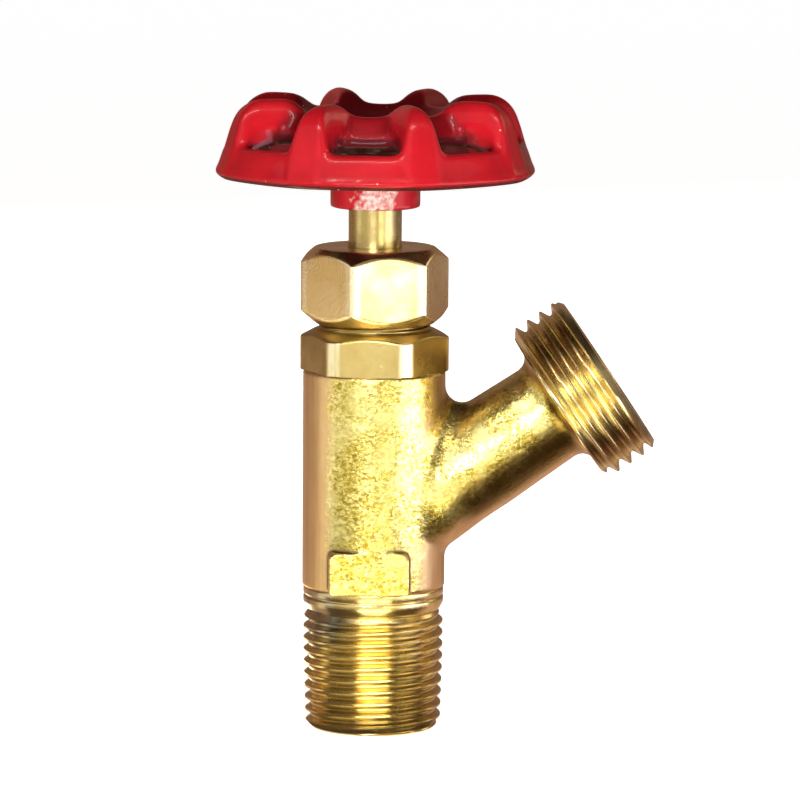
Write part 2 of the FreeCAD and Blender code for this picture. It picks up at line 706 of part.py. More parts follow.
def handwheel_shape():
    hub = size("hub_dia") / 2
    lip = size("rim_lip")
    rim = size("rim_dia") / 2
    rim_up = size("rim_height")
    top = [
        plane_point(size("valley_dia") / 2, size("valley_height")),
        plane_point(size("ramp_dia") / 2, size("ramp_height")),
        plane_point(size("skirt_dia") / 2, size("skirt_height")),
        plane_point(rim, rim_up),
    ]
    lip_end = plane_point(rim - lip, rim_up - lip)
    hub_bottom = plane_point(hub, 0)
    bowl = spun([
        Part.makeLine(CENTRE, hub_bottom),
        Part.makeLine(hub_bottom, plane_point(hub, rim_up - lip)),
        Part.makeLine(plane_point(hub, rim_up - lip), lip_end),
        Part.makeLine(lip_end, top[3]),
        Part.makeLine(top[3], top[2]),
        Part.makeLine(top[2], top[1]),
        Part.makeLine(top[1], top[0]),
        Part.makeLine(top[0], plane_point(0, size("valley_height"))),
        Part.makeLine(plane_point(0, size("valley_height")), CENTRE),
    ])
    lobe = lobe_shape()
    pitch = 360 / size("wheel_lobes")
    turns = [pitch * number for number in range(int(size("wheel_lobes")))]
    lobes = [lobe.rotated(CENTRE, UP, turn) for turn in turns]
    wheel = bowl.fuse(lobes)

    crest = lobe_crest(0)
    above = size("crest_height") + 2
    dish_edge = crest[0].Vertexes[0].Point
    crest_start = crest[1].Vertexes[1].Point
    dish = spun(crest[:2] + [
        Part.makeLine(crest_start, plane_point(crest_start.x, above)),
        Part.makeLine(plane_point(crest_start.x, above), plane_point(0, above)),
        Part.makeLine(plane_point(0, above), plane_point(0, size("dish_floor"))),
        Part.makeLine(plane_point(0, size("dish_floor")), dish_edge),
    ])
    wheel = wheel.cut(dish)

    wall = size("wheel_wall")
    dish_rise = (size("valley_height") - size("dish_floor")) / math.tan(math.radians(size("dish_slope")))
    skin = [plane_point(hub, size("dish_floor")), dish_edge,
            plane_point(dish_edge.x + dish_rise, size("valley_height"))]
    under_dish = shifted_lines(skin, wall)
    under_ramp = shifted_lines(top, wall)
    a, b = under_dish[1:]
    c, d = under_ramp[:2]
    along = b - a
    across = d - c
    gap = c - a
    reach = (gap.x * across.z - gap.z * across.x) / (along.x * across.z - along.z * across.x)
    under_ramp[0] = a + along * reach
    last = under_ramp[-1]
    before = under_ramp[-2]
    reach = (before.z + 1) / (before.z - last.z)
    below = before + (last - before) * reach
    hub_side = [plane_point(hub, -1), plane_point(hub, under_dish[0].z)]
    cavity = spun(path(hub_side + [under_dish[1]] + under_ramp[:-1] + [below]))
    wheel = wheel.cut(cavity)

    hollow_edges = lobe_crest(wall)
    rise_start = hollow_edges[0].Vertexes[0].Point
    fall_end = hollow_edges[-1].Vertexes[-1].Point
    hollow_width = 2 * size("lobe_hollow")
    floor_up = min(rise_start.z, rim_up) - 0.4
    hollow = spun(hollow_edges + [
        Part.makeLine(fall_end, plane_point(fall_end.x - 1, rim_up)),
        Part.makeLine(plane_point(fall_end.x - 1, rim_up), rise_start),
    ], hollow_width, -size("lobe_hollow"))
    window = window_cutter()
    cutters = [hollow.rotated(CENTRE, UP, turn) for turn in turns]
    cutters += [window.rotated(CENTRE, UP, turn + pitch / 2) for turn in turns]
    side = size("square_side") + 2 * size("square_gap")
    corner = FreeCAD.Vector(-side / 2, -side / 2, -1)
    cutters.append(Part.makeBox(side, side, size("dish_floor") + 2, corner))
    wheel = wheel.cut(cutters)
    return wheel.removeSplitter()


handwheel = doc.addObject("Part::Feature", "handwheel")
handwheel.Label = "handwheel"
handwheel.Shape = handwheel_shape()
handwheel.Placement.Rotation = FreeCAD.Rotation(UP, size("wheel_turn"))
handwheel.setExpression("Placement.Base.z", bound(HUB_BASE))
pieces.append(handwheel)

ring("handwheel_washer", f"{HUB_BASE} + dish_floor",
     "wheel_screw_dia / 2 + screw_gap", "wheel_washer_dia / 2", "wheel_washer_thickness")

handwheel_screw = new_body("handwheel_screw", f"{HUB_BASE} + dish_floor - wheel_screw_bite")
wheel_screw = sketch_on(handwheel_screw, "wheel_screw")
head_base = "wheel_screw_bite + wheel_washer_thickness"
outline(wheel_screw, [
    ("0", "0"),
    ("wheel_screw_dia / 2", "0"),
    ("wheel_screw_dia / 2", head_base),
    ("wheel_screw_head_dia / 2", head_base),
    ("wheel_screw_head_dia / 2", f"{head_base} + wheel_screw_head * 0.6"),
    ("wheel_screw_head_dia / 2 - wheel_screw_head / 2", f"{head_base} + wheel_screw_head"),
    ("0", f"{head_base} + wheel_screw_head"),
])
turned(handwheel_screw, "Revolution", wheel_screw)
doc.recompute()
slotted_head(handwheel_screw, "wheel_screw_slot", f"{head_base} + wheel_screw_head",
             "wheel_screw_head_dia", "wheel_slot_width", "wheel_slot_depth")

doc.recompute()
faults = [item.Name for item in doc.Objects if "Invalid" in item.State or "Error" in item.State]
faults += [piece.Label for piece in pieces if piece.Shape.isNull() or not piece.Shape.isValid()]
if faults:
    raise RuntimeError(f"not built: {faults}")

os.makedirs("parts", exist_ok=True)
for piece in pieces:
    piece.Shape.exportStep(f"parts/{piece.Label}.step")
    box = piece.Shape.BoundBox
    print(f"{piece.Label}: {len(piece.Shape.Solids)} solid, {piece.Shape.Volume:.1f} mm3, "
          f"z {box.ZMin:.2f} to {box.ZMax:.2f}, widths {box.XLength:.2f} x {box.YLength:.2f}")
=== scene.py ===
# An angle valve for a boiler or a garden hose: a forged brass body with a tapered pipe thread below and a
# hose arm to the side, a hexagon bonnet and packing nut, a rising stem and a red enamelled handwheel.
# Metres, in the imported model's frame: origin at the inlet's end, +Z up the stem, +X towards the hose arm.

import math

import bmesh
import bpy
import numpy as np
from mathutils import Matrix, Vector, noise
from mathutils.bvhtree import BVHTree


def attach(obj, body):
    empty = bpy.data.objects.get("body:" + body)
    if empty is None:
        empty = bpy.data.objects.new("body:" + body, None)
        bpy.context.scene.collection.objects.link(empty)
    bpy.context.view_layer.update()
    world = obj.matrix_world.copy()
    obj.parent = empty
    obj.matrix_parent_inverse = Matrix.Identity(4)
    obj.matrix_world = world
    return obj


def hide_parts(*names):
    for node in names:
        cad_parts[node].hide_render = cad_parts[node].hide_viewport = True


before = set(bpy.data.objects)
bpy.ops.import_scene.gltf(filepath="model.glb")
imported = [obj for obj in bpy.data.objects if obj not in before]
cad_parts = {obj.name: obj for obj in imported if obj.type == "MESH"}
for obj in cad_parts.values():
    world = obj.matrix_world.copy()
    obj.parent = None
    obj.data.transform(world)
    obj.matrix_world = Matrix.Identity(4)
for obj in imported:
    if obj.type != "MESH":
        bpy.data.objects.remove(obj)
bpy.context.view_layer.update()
MM = 0.001


# Camera and studio
# A long lens looks at the valve from a little above. The valve stands on a pale floor in a white room, lit
# by a low softbox in front, a narrow one high up and a broad one behind. Coloured cards that stay out of
# the picture shape the reflections in the brass.

IMAGE_SIDE = 800
SENSOR = 36.0
FOCAL_PIXELS = 5630
CAMERA_AZIMUTH = math.radians(-2.0)
CAMERA_DISTANCE = 0.853
CAMERA_PITCH = math.radians(7.9)
CAMERA_ROLL = math.radians(0.35)
FARTHEST_SEEN = 20
AIM = Vector((0.0039, 0, 0.050))
ROOM_LIGHT = 0.12
ROOM_WHITE = 1.0

camera_data = bpy.data.cameras.new("camera")
camera_data.sensor_width = SENSOR
camera_data.lens = FOCAL_PIXELS * SENSOR / IMAGE_SIDE
camera_data.clip_end = FARTHEST_SEEN
camera = bpy.data.objects.new("camera", camera_data)
bpy.context.scene.collection.objects.link(camera)
backwards = Vector((math.sin(CAMERA_AZIMUTH) * math.cos(CAMERA_PITCH),
                    -math.cos(CAMERA_AZIMUTH) * math.cos(CAMERA_PITCH),
                    math.sin(CAMERA_PITCH)))
camera.location = AIM + backwards * CAMERA_DISTANCE
roll = Matrix.Rotation(CAMERA_ROLL, 4, "Z").to_quaternion()
camera.rotation_euler = (backwards.to_track_quat("Z", "Y") @ roll).to_euler()
bpy.context.scene.camera = camera
bpy.context.scene.view_settings.view_transform = "Standard"


def add(tree, kind, values=None, **settings):
    """A new shader node. A value that is a socket is linked to its input, any other is set on it."""
    node = tree.nodes.new("ShaderNode" + kind)
    for name, setting in settings.items():
        setattr(node, name, setting)
    for name, value in (values or {}).items():
        if isinstance(value, bpy.types.NodeSocket):
            tree.links.new(value, node.inputs[name])
        else:
            node.inputs[name].default_value = value
    return node


def seen_directly(tree):
    """1 for camera, glossy and transmitted rays, 0 for all others."""
    path = add(tree, "LightPath").outputs
    either = add(tree, "Math", {0: path["Is Camera Ray"], 1: path["Is Glossy Ray"]}, operation="MAXIMUM")
    either = add(tree, "Math", {0: either.outputs[0], 1: path["Is Transmission Ray"]}, operation="MAXIMUM")
    return either.outputs[0]


world = bpy.data.worlds.new("studio")
world.use_nodes = True
bpy.context.scene.world = world
background = world.node_tree.nodes["Background"]
background.inputs["Color"].default_value = (1, 1, 1, 1)
# The room looks white but gives off little light.
sky = add(world.node_tree, "MapRange", {
    "Value": seen_directly(world.node_tree), "To Min": ROOM_LIGHT, "To Max": ROOM_WHITE})
world.node_tree.links.new(sky.outputs[0], background.inputs["Strength"])


def lamp(name, place, target, width, height, power, mirrored=True):
    """A softbox that faces the target. One that isn't mirrored lights the valve but never shows in it."""
    data = bpy.data.lights.new(name, "AREA")
    data.shape = "RECTANGLE"
    data.size = width
    data.size_y = height
    data.energy = power
    light = bpy.data.objects.new(name, data)
    light.location = place
    light.rotation_euler = (Vector(place) - Vector(target)).to_track_quat("Z", "Y").to_euler()
    light.visible_glossy = mirrored
    bpy.context.scene.collection.objects.link(light)


lamp("front_softbox", (-0.01, -0.60, 0.035), (0, 0, 0.07), 0.24, 0.07, 4.1, mirrored=False)
lamp("high_softbox", (-0.07, -0.40, 0.53), (0, 0, 0.06), 0.50, 0.06, 0.45)
lamp("back_softbox", (-0.20, 0.52, 0.36), (0, 0, 0.07), 0.40, 0.30, 2.6, mirrored=False)


FLOOR_REACH = 3.0
FLOOR_GLOW = 0.90
FLOOR_WHITE = (0.80, 0.80, 0.80, 1)
FLOOR_GREY = (0.38, 0.36, 0.33, 1)


def flat_sheet(name, corners):
    """A flat face of the studio. It is not a piece of the valve."""
    mesh = bpy.data.meshes.new(name)
    mesh.from_pydata(corners, [], [tuple(range(len(corners)))])
    sheet = bpy.data.objects.new(name, mesh)
    bpy.context.scene.collection.objects.link(sheet)
    return sheet


# The floor looks white too, and throws little of it back on the valve.
floor = flat_sheet("floor", [(-FLOOR_REACH, -FLOOR_REACH, 0), (FLOOR_REACH, -FLOOR_REACH, 0),
                             (FLOOR_REACH, FLOOR_REACH, 0), (-FLOOR_REACH, FLOOR_REACH, 0)])
floor_paint = bpy.data.materials.new("floor_paint")
floor_paint.use_nodes = True
paint = floor_paint.node_tree
paint.nodes.clear()
matt_white = add(paint, "BsdfDiffuse", {"Color": FLOOR_WHITE})
matt_grey = add(paint, "BsdfDiffuse", {"Color": FLOOR_GREY})
glow = add(paint, "Emission", {"Color": (1, 1, 1, 1), "Strength": FLOOR_GLOW})
both = add(paint, "AddShader", {0: matt_white.outputs[0], 1: glow.outputs[0]})
chosen = add(paint, "MixShader", {0: seen_directly(paint), 1: matt_grey.outputs[0], 2: both.outputs[0]})
add(paint, "OutputMaterial", {"Surface": chosen.outputs[0]})
floor.data.materials.append(floor_paint)

ROOM_HEIGHT = 0.8
LOWER_CARDS = 0.2 * MM
MIDDLE_CARDS = 0.4 * MM
UPPER_CARDS = 0.6 * MM


def card(name, corners, colour, fill=True):
    """A glowing board that shapes the reflections in the brass and stays out of the picture. With fill it
    also lights the matt surfaces."""
    board = bpy.data.materials.new(name)
    board.use_nodes = True
    board.node_tree.nodes.clear()
    shine = add(board.node_tree, "Emission", {"Color": (*colour, 1), "Strength": 1.0})
    add(board.node_tree, "OutputMaterial", {"Surface": shine.outputs[0]})
    sheet = flat_sheet(name, corners)
    sheet.data.materials.append(board)
    sheet.visible_camera = False
    sheet.visible_shadow = False
    sheet.visible_diffuse = fill


def upright(one, other, low=0.0, high=ROOM_HEIGHT):
    """Corners of a board that stands over the line between two places on the floor."""
    return [(*one, low), (*other, low), (*other, high), (*one, high)]


def lying(*corners, height=LOWER_CARDS):
    """Corners of a board that lies just over the floor."""
    return [(*corner, height) for corner in corners]


card("left_card", upright((-0.75, 0.02), (-0.36, 0.80)), (0.27, 0.165, 0.125))
card("back_card", upright((-0.36, 0.80), (0.36, 0.80)), (0.25, 0.16, 0.12), fill=False)
card("right_card", upright((0.36, 0.80), (0.70, 0.40)), (0.24, 0.15, 0.11), fill=False)
card("right_front_card", upright((0.70, 0.40), (0.78, -0.10)), (0.12, 0.07, 0.05))
card("ceiling_card", [(-0.75, -0.34, 0.7), (0.78, -0.34, 0.7), (0.78, 0.8, 0.7), (-0.75, 0.8, 0.7)],
     (0.05, 0.04, 0.03))
card("front_right_card", upright((0.05, -0.60), (0.44, -0.44), 0.0, 0.20), (0.50, 0.44, 0.26), fill=False)
card("nut_card", upright((0.15, -0.55), (0.33, -0.48), 0.0, 0.07), (4.0, 3.8, 3.3), fill=False)
card("side_right_card", upright((0.44, -0.44), (0.64, -0.20), 0.0, 0.20), (3.6, 3.5, 3.2), fill=False)
card("front_dark_card", upright((0.02, -0.58), (0.50, -0.46), 0.22, 0.62), (0.16, 0.13, 0.08), fill=False)
card("front_bright_card", upright((-0.23, -0.55), (-0.02, -0.59), 0.10, 0.25), (12.5, 12.5, 14.5),
     fill=False)
card("high_card", [(-0.20, -0.46, 0.44), (0.25, -0.46, 0.44), (0.25, -0.20, 0.62), (-0.20, -0.20, 0.62)],
     (0.6, 0.5, 0.35), fill=False)
card("glint_card", [(-0.26, -0.375, 0.494), (0.22, -0.375, 0.494),
                    (0.22, -0.355, 0.508), (-0.26, -0.355, 0.508)], (34.0, 33.0, 32.0), fill=False)
card("far_right_card", [(0.66, 0.20, 0.27), (0.66, 0.48, 0.27), (0.50, 0.46, 0.48), (0.50, 0.18, 0.48)],
     (2.0, 1.8, 1.4), fill=False)
card("flank_floor_card", lying((-0.045, 0.030), (0.004, 0.030), (0.004, 0.062), (-0.045, 0.062),
                               height=UPPER_CARDS), (5.5, 5.0, 3.2), fill=False)
card("left_floor_card", lying((0, 0), (-0.75, -0.06), (-0.36, 0.80), (0, 0.80)), (0.49, 0.33, 0.26),
     fill=False)
card("pale_floor_card", lying((-0.03, -0.004), (-0.42, -0.035), (-0.42, 0.085), (-0.03, 0.006),
                              height=MIDDLE_CARDS), (1.5, 1.35, 0.95), fill=False)
card("corner_floor_card", lying((-0.33, -0.15), (-0.44, -0.20), (-0.46, -0.09), (-0.34, -0.06),
                                height=MIDDLE_CARDS), (3.4, 3.2, 2.8), fill=False)
card("right_floor_card", lying((0, 0), (0, 0.80), (0.36, 0.80), (0.78, -0.16)), (0.30, 0.19, 0.145),
     fill=False)
card("behind_floor_card", lying((-0.06, 0), (-0.06, 0.10), (0.16, 0.10), (0.16, 0), height=MIDDLE_CARDS),
     (0.66, 0.45, 0.36), fill=False)
card("thread_floor_card", lying((-0.007, -0.018), (0.006, -0.018), (0.0125, -0.030), (0.043, -0.10),
                                (-0.042, -0.10), (-0.014, -0.030), height=MIDDLE_CARDS),
     (4.9, 4.5, 2.8), fill=False)
card("near_floor_card", lying((0, 0), (0.17, -0.03), (0.14, -0.10), (-0.11, -0.10), (-0.13, -0.01)),
     (0.11, 0.07, 0.04), fill=False)
card("front_floor_card", lying((-0.13, -0.05), (-0.11, -0.10), (0.075, -0.10), (0.16, -0.19), (0.30, -0.36),
                               (0.05, -0.60), (-0.40, -0.50), (-0.66, -0.26)), (0.74, 0.66, 0.34), fill=False)
card("left_front_floor_card", lying((-0.124, -0.084), (-0.070, -0.132), (-0.197, -0.371), (-0.348, -0.235),
                                    height=MIDDLE_CARDS), (1.25, 1.15, 0.62), fill=False)
card("nut_floor_card", lying((0.10, -0.42), (0.24, -0.38), (0.32, -0.50), (0.13, -0.57), height=MIDDLE_CARDS),
     (8.0, 7.7, 7.0), fill=False)
card("bright_floor_card", lying((0.12, -0.145), (0.27, -0.32), (0.42, -0.20), (0.40, -0.06), (0.34, 0.05),
                                (0.19, 0.025), (0.18, -0.03), height=MIDDLE_CARDS),
     (6.3, 6.2, 7.6), fill=False)


# Cast body
# The brass forging between the inlet's collar and the hose end: barrel, wrench pads and arm. Its front and
# back are rough from the die, and the sides are ground smooth where the flash was trimmed off.

WELD_GAP = 0.5e-6
SKIN_VOXEL = 0.24 * MM
SKIN_ROUNDS = 4
CASTING_BASE = 21.72 * MM
SEAM = 54.7 * MM
ARM_CROSSING = 30.4 * MM
ARM_ANGLE = math.radians(34)
ARM_CUT = 33.95 * MM
INSIDE_BARREL = 9.0 * MM
INSIDE_ARM = 7.2 * MM
arm_direction = Vector((math.cos(ARM_ANGLE), 0, math.sin(ARM_ANGLE)))


def welded_copy(node):
    """The mesh of a CAD node as one closed skin."""
    skin = bmesh.new()
    skin.from_mesh(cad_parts[node].data)
    bmesh.ops.remove_doubles(skin, verts=skin.verts, dist=WELD_GAP)
    return skin


def cut_off(skin, point, direction):
    """Takes away what lies beyond the plane, on the side that direction points to, and closes the cut."""
    everything = skin.verts[:] + skin.edges[:] + skin.faces[:]
    cut = bmesh.ops.bisect_plane(skin, geom=everything, plane_co=point, plane_no=direction,
                                 clear_outer=True, dist=1e-7)["geom_cut"]
    rim = [item for item in cut if isinstance(item, bmesh.types.BMEdge) and item.is_boundary]
    bmesh.ops.triangle_fill(skin, use_beauty=True, edges=rim)
    bmesh.ops.recalc_face_normals(skin, faces=skin.faces)


def to_object(name, skin):
    """An object in the scene with this skin as its mesh."""
    mesh = bpy.data.meshes.new(name)
    skin.to_mesh(mesh)
    skin.free()
    piece = bpy.data.objects.new(name, mesh)
    bpy.context.scene.collection.objects.link(piece)
    return piece


def cast_skin(piece, voxel, rounds):
    """Remeshes a piece evenly and softens its edges, as casting does."""
    remesh = piece.modifiers.new("skin", "REMESH")
    remesh.mode = "VOXEL"
    remesh.voxel_size = voxel
    soften = piece.modifiers.new("soften", "SMOOTH")
    soften.factor = 0.5
    soften.iterations = rounds
    graph = bpy.context.evaluated_depsgraph_get()
    mesh = bpy.data.meshes.new_from_object(piece.evaluated_get(graph))
    piece.modifiers.clear()
    piece.data = mesh
    mesh.shade_smooth()
    return mesh


def measure(mesh):
    """Vertex places, normals and a function that averages a value over each vertex's neighbours."""
    count = len(mesh.vertices)
    places = np.empty(count * 3)
    mesh.vertices.foreach_get("co", places)
    normals = np.empty(count * 3)
    mesh.vertices.foreach_get("normal", normals)
    ends = np.empty(len(mesh.edges) * 2, dtype=np.int64)
    mesh.edges.foreach_get("vertices", ends)
    ends = ends.reshape(-1, 2)
    one = np.concatenate([ends[:, 0], ends[:, 1]])
    other = np.concatenate([ends[:, 1], ends[:, 0]])
    links = np.maximum(np.bincount(one, minlength=count), 1)

    def around(values):
        return np.bincount(one, weights=values[other], minlength=count) / links

    return places.reshape(-1, 3), normals.reshape(-1, 3), around


def move_to(mesh, places):
    """Gives the mesh's vertices new places and measures it again."""
    mesh.vertices.foreach_set("co", places.ravel())
    mesh.update()
    return measure(mesh)


def relax(places, around, share, rounds):
    """Draws each vertex towards the middle of its neighbours by its share, round after round."""
    for _ in range(rounds):
        for axis in range(3):
            places[:, axis] += share * (around(places[:, axis]) - places[:, axis])


def hollowness(places, normals, around, rounds):
    """How deep each vertex lies below the middle of its neighbours, in metres."""
    middle = np.stack([around(places[:, axis]) for axis in range(3)], axis=1)
    depth = np.einsum("ij,ij->i", middle - places, normals)
    for _ in range(rounds):
        depth = around(depth)
    return depth


def soft_step(values, low, high):
    """0 up to low, 1 from high on, and a smooth rise between them."""
    part = np.clip((values - low) / (high - low), 0, 1)
    return part * part * (3 - 2 * part)


def noise_at(places, scale):
    """Smooth noise at each place. A larger scale makes it finer."""
    return np.array([noise.noise(Vector(place) * scale) for place in places])


def keep_on_mesh(mesh, name, values):
    """Stores one number per vertex, which from_mesh reads in the material."""
    layer = mesh.attributes.new(name, "FLOAT", "POINT")
    layer.data.foreach_set("value", np.asarray(values, dtype=np.float32))


PAD_TOP = 28.1 * MM
PAD_SIDES = (-7.05 * MM, 5.05 * MM)
PAD_ROUNDING = 0.9 * MM
CLOSE_BY = 0.02 * MM
BLEND_ROUNDS = 160
LUMP_HEIGHT = 0.035 * MM


def is_pad_corner(edge):
    """Whether the edge runs from front to back where the top of a wrench pad meets its side."""
    for vert in edge.verts:
        aside = min(abs(vert.co.x - side) for side in PAD_SIDES)
        if abs(vert.co.z - PAD_TOP) >= CLOSE_BY or aside >= CLOSE_BY:
            return False
    return abs(edge.verts[0].co.y - edge.verts[1].co.y) > 0.5 * MM


skin = welded_copy("valve_body")
pad_corners = [edge for edge in skin.edges if is_pad_corner(edge)]
bmesh.ops.bevel(skin, geom=pad_corners, offset=PAD_ROUNDING, segments=4, profile=0.5, affect="EDGES")
cut_off(skin, Vector((0, 0, CASTING_BASE)), Vector((0, 0, -1)))
cut_off(skin, Vector((0, 0, ARM_CROSSING)) + arm_direction * ARM_CUT, arm_direction)
casting = to_object("cast_body", skin)
mesh = cast_skin(casting, SKIN_VOXEL, SKIN_ROUNDS)
places, normals, around = measure(mesh)

# The angle between barrel and arm is smoothed to a fillet, and the rough faces get low lumps.
along = places[:, 0] * arm_direction.x + (places[:, 2] - ARM_CROSSING) * arm_direction.z
beside = np.hypot(places[:, 1],
                  places[:, 0] * arm_direction.z - (places[:, 2] - ARM_CROSSING) * arm_direction.x)
outside = (np.hypot(places[:, 0], places[:, 1]) > INSIDE_BARREL) & (beside > INSIDE_ARM)
blend = outside * soft_step(places[:, 0], 3 * MM, 6 * MM) * soft_step(-along, -20 * MM, -15 * MM)
blend *= soft_step(places[:, 2], 29 * MM, 32 * MM) * soft_step(SEAM - places[:, 2], 0.5 * MM, 3 * MM)
relax(places, around, 0.6 * blend, BLEND_ROUNDS)
lumps = noise_at(places, 700) + 0.5 * noise_at(places, 1600)
inland = soft_step(SEAM - places[:, 2], 0.3 * MM, 1.0 * MM)
inland *= soft_step(places[:, 2] - CASTING_BASE, 0.3 * MM, 1.0 * MM)
lumps *= inland
places += normals * (lumps * soft_step(np.abs(normals[:, 1]), 0.5, 0.85) * outside * LUMP_HEIGHT)[:, None]
places, normals, around = move_to(mesh, places)

# The material reads from the mesh the rough faces, and the corners, the arm's underside and the crotch
# above it, which it darkens as painted shade, the corners with some dirt as well.
hollow = hollowness(places, normals, around, 2)
keep_on_mesh(mesh, "hollow", np.clip(hollow / (0.012 * MM), 0, 1) * (1 - 0.9 * blend))
on_arm = soft_step(along, 13 * MM, 19 * MM)
facing = np.abs(normals[:, 1])
rough_barrel = soft_step(facing, 0.66, 0.86)
rough_arm = np.maximum(soft_step(facing, 0.45, 0.75), 0.75 * soft_step(normals[:, 2], 0.1, 0.5))
rough = rough_barrel * (1 - on_arm) + rough_arm * on_arm
keep_on_mesh(mesh, "rough", rough)
# Painted shade: the arm's underside and the crotch above it are darkened in the material.
near_arm = soft_step(along, 11 * MM, 15 * MM)
underside = near_arm * soft_step(-normals[:, 2], -0.02, 0.22) * soft_step(facing, 0.42, 0.72)
crotch = near_arm * soft_step(normals[:, 2], 0.15, 0.5) * soft_step(-along, -30 * MM, -17 * MM)
keep_on_mesh(mesh, "arm_shade", np.maximum(underside, 0.6 * crotch))


def finish(name):
    """A new material, its node tree and its Principled shader."""
    material = bpy.data.materials.new(name)
    material.use_nodes = True
    return material, material.node_tree, material.node_tree.nodes["Principled BSDF"]


def grain(tree, scale, detail=3, roughness=0.55, stretch=None, distortion=0.0, tilt=0.0):
    """Noise on the piece's own coordinates, stretched where the tool marks run one way."""
    place = add(tree, "TexCoord").outputs["Object"]
    if tilt:
        place = add(tree, "Mapping", {"Vector": place, "Rotation": (0, -tilt, 0)}).outputs[0]
    if stretch:
        place = add(tree, "Mapping", {"Vector": place, "Scale": stretch}).outputs[0]
    speckle = add(tree, "TexNoise", {"Vector": place, "Scale": scale, "Detail": detail,
                                     "Roughness": roughness, "Distortion": distortion})
    return speckle.outputs["Fac"]


def remap(tree, value, low, high, to_low=0.0, to_high=1.0):
    """The value with low to high stretched to the new range, and held within it."""
    return add(tree, "MapRange", {"Value": value, "From Min": low, "From Max": high,
                                  "To Min": to_low, "To Max": to_high}).outputs[0]


def mix_colour(tree, share, one, other):
    """One colour where the share is 0, the other where it is 1."""
    mixed = add(tree, "Mix", data_type="RGBA")
    for index, value in ((0, share), (6, one), (7, other)):
        if isinstance(value, bpy.types.NodeSocket):
            tree.links.new(value, mixed.inputs[index])
        elif index == 0:
            mixed.inputs[index].default_value = value
        else:
            mixed.inputs[index].default_value = (*value, 1)
    return mixed.outputs[2]


def calc(tree, operation, one, other=0.0):
    """The result of one Math node."""
    return add(tree, "Math", {0: one, 1: other}, operation=operation).outputs[0]


def from_mesh(tree, name):
    """What keep_on_mesh stored under the name, or 0 where nothing was stored."""
    return add(tree, "Attribute", attribute_name=name).outputs["Fac"]


def tint(tree, tone, layer, share, colour):
    """The tone with a colour mixed in, by the share times what the mesh's layer holds."""
    return mix_colour(tree, calc(tree, "MULTIPLY", from_mesh(tree, layer), share), tone, colour)


def bump(tree, height, depth, under=None):
    """A surface with bumps of this depth, laid over those in under."""
    values = {"Height": height, "Distance": depth, "Strength": 1.0}
    if under is not None:
        values["Normal"] = under
    return add(tree, "Bump", values).outputs[0]


def put_on(piece, material):
    """Gives a piece its one material."""
    piece.data.materials.clear()
    piece.data.materials.append(material)


GROUND_SHADED_DARK = (0.70, 0.46, 0.23)
GROUND_SHADED_LIGHT = (0.83, 0.60, 0.31)
PIT_OLIVE = (0.40, 0.28, 0.03)
GRAIN_YELLOW = (0.96, 0.85, 0.34)
CLUMP_OLIVE = (0.62, 0.48, 0.08)
PATCH_PALE = (0.97, 0.88, 0.42)
ARM_SHADE_BROWN = (0.17, 0.10, 0.025)
CASTING_SHADE_AND_DIRT = (0.14, 0.085, 0.02)

forged, tree, shader = finish("forged_brass")
rough_part = from_mesh(tree, "rough")
smooth_part = calc(tree, "SUBTRACT", 1.0, rough_part)
edge_zone = calc(tree, "MULTIPLY", calc(tree, "MULTIPLY", rough_part, smooth_part), 4.0)
ragged = calc(tree, "MULTIPLY", remap(tree, grain(tree, 900, 3), 0.35, 0.65, -0.3, 0.3), edge_zone)
rough_edge = add(tree, "Clamp", {"Value": calc(tree, "ADD", rough_part, ragged)}).outputs[0]
pits = grain(tree, 1900, 4, 0.68, stretch=(0.8, 0.8, 1.1), distortion=0.4)
clumps = grain(tree, 800, 3, 0.6, stretch=(0.8, 0.8, 1.2))
patches = grain(tree, 230, 3)
streaks = grain(tree, 700, 3, stretch=(1, 1, 0.06))
# The ground sides get a darker, more copper tone than the rough front: partly their ground finish, partly
# painted shade.
smooth_tone = mix_colour(tree, remap(tree, streaks, 0.3, 0.7), GROUND_SHADED_DARK, GROUND_SHADED_LIGHT)
rough_tone = mix_colour(tree, remap(tree, pits, 0.41, 0.57), PIT_OLIVE, GRAIN_YELLOW)
rough_tone = mix_colour(tree, remap(tree, clumps, 0.44, 0.60, 0.0, 0.60), rough_tone, CLUMP_OLIVE)
rough_tone = mix_colour(tree, remap(tree, patches, 0.46, 0.62, 0.0, 0.40), rough_tone, PATCH_PALE)
tone = mix_colour(tree, rough_edge, smooth_tone, rough_tone)
# Painted shade under the arm and in the crotch above it.
tone = tint(tree, tone, "arm_shade", 0.88, ARM_SHADE_BROWN)
# Painted shade with some dirt: the casting's creases and corners are darkened.
tone = tint(tree, tone, "hollow", 0.85, CASTING_SHADE_AND_DIRT)
tree.links.new(tone, shader.inputs["Base Color"])
shader.inputs["Metallic"].default_value = 1.0
gloss = remap(tree, rough_edge, 0.0, 1.0, 0.36, 0.25)
gloss = calc(tree, "ADD", gloss, remap(tree, patches, 0.3, 0.7, -0.04, 0.06))
tree.links.new(gloss, shader.inputs["Roughness"])
fine = bump(tree, calc(tree, "MULTIPLY", pits, rough_edge), 0.055 * MM)
fine = bump(tree, calc(tree, "MULTIPLY", streaks, calc(tree, "SUBTRACT", 1.0, rough_edge)), 0.03 * MM, fine)
tree.links.new(fine, shader.inputs["Normal"])
put_on(casting, forged)
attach(casting, "valve")


# Inlet
# The lower end of the same forging, turned to a half-inch tapered pipe thread of 14 threads to the inch,
# with a plain collar above it and a shallow groove round the collar.

INLET_PITCH = 25.4 / 14 * MM
INLET_SMALL = 10.25 * MM
INLET_DEPTH = 0.85 * MM
INLET_TOP = 18.2 * MM
INLET_LIP = 9.35 * MM
INLET_NECK = 9.72 * MM
INLET_BORE = 6.50 * MM
COLLAR = 10.65 * MM
GROOVE = 10.45 * MM
GREY_SPOT = (-8.5 * MM, -5.5 * MM, 18 * MM)
GREY_REACH = 7 * MM


def round_columns(count):
    """Column angles at even steps round the axis."""
    return [math.tau * index / count for index in range(count)]


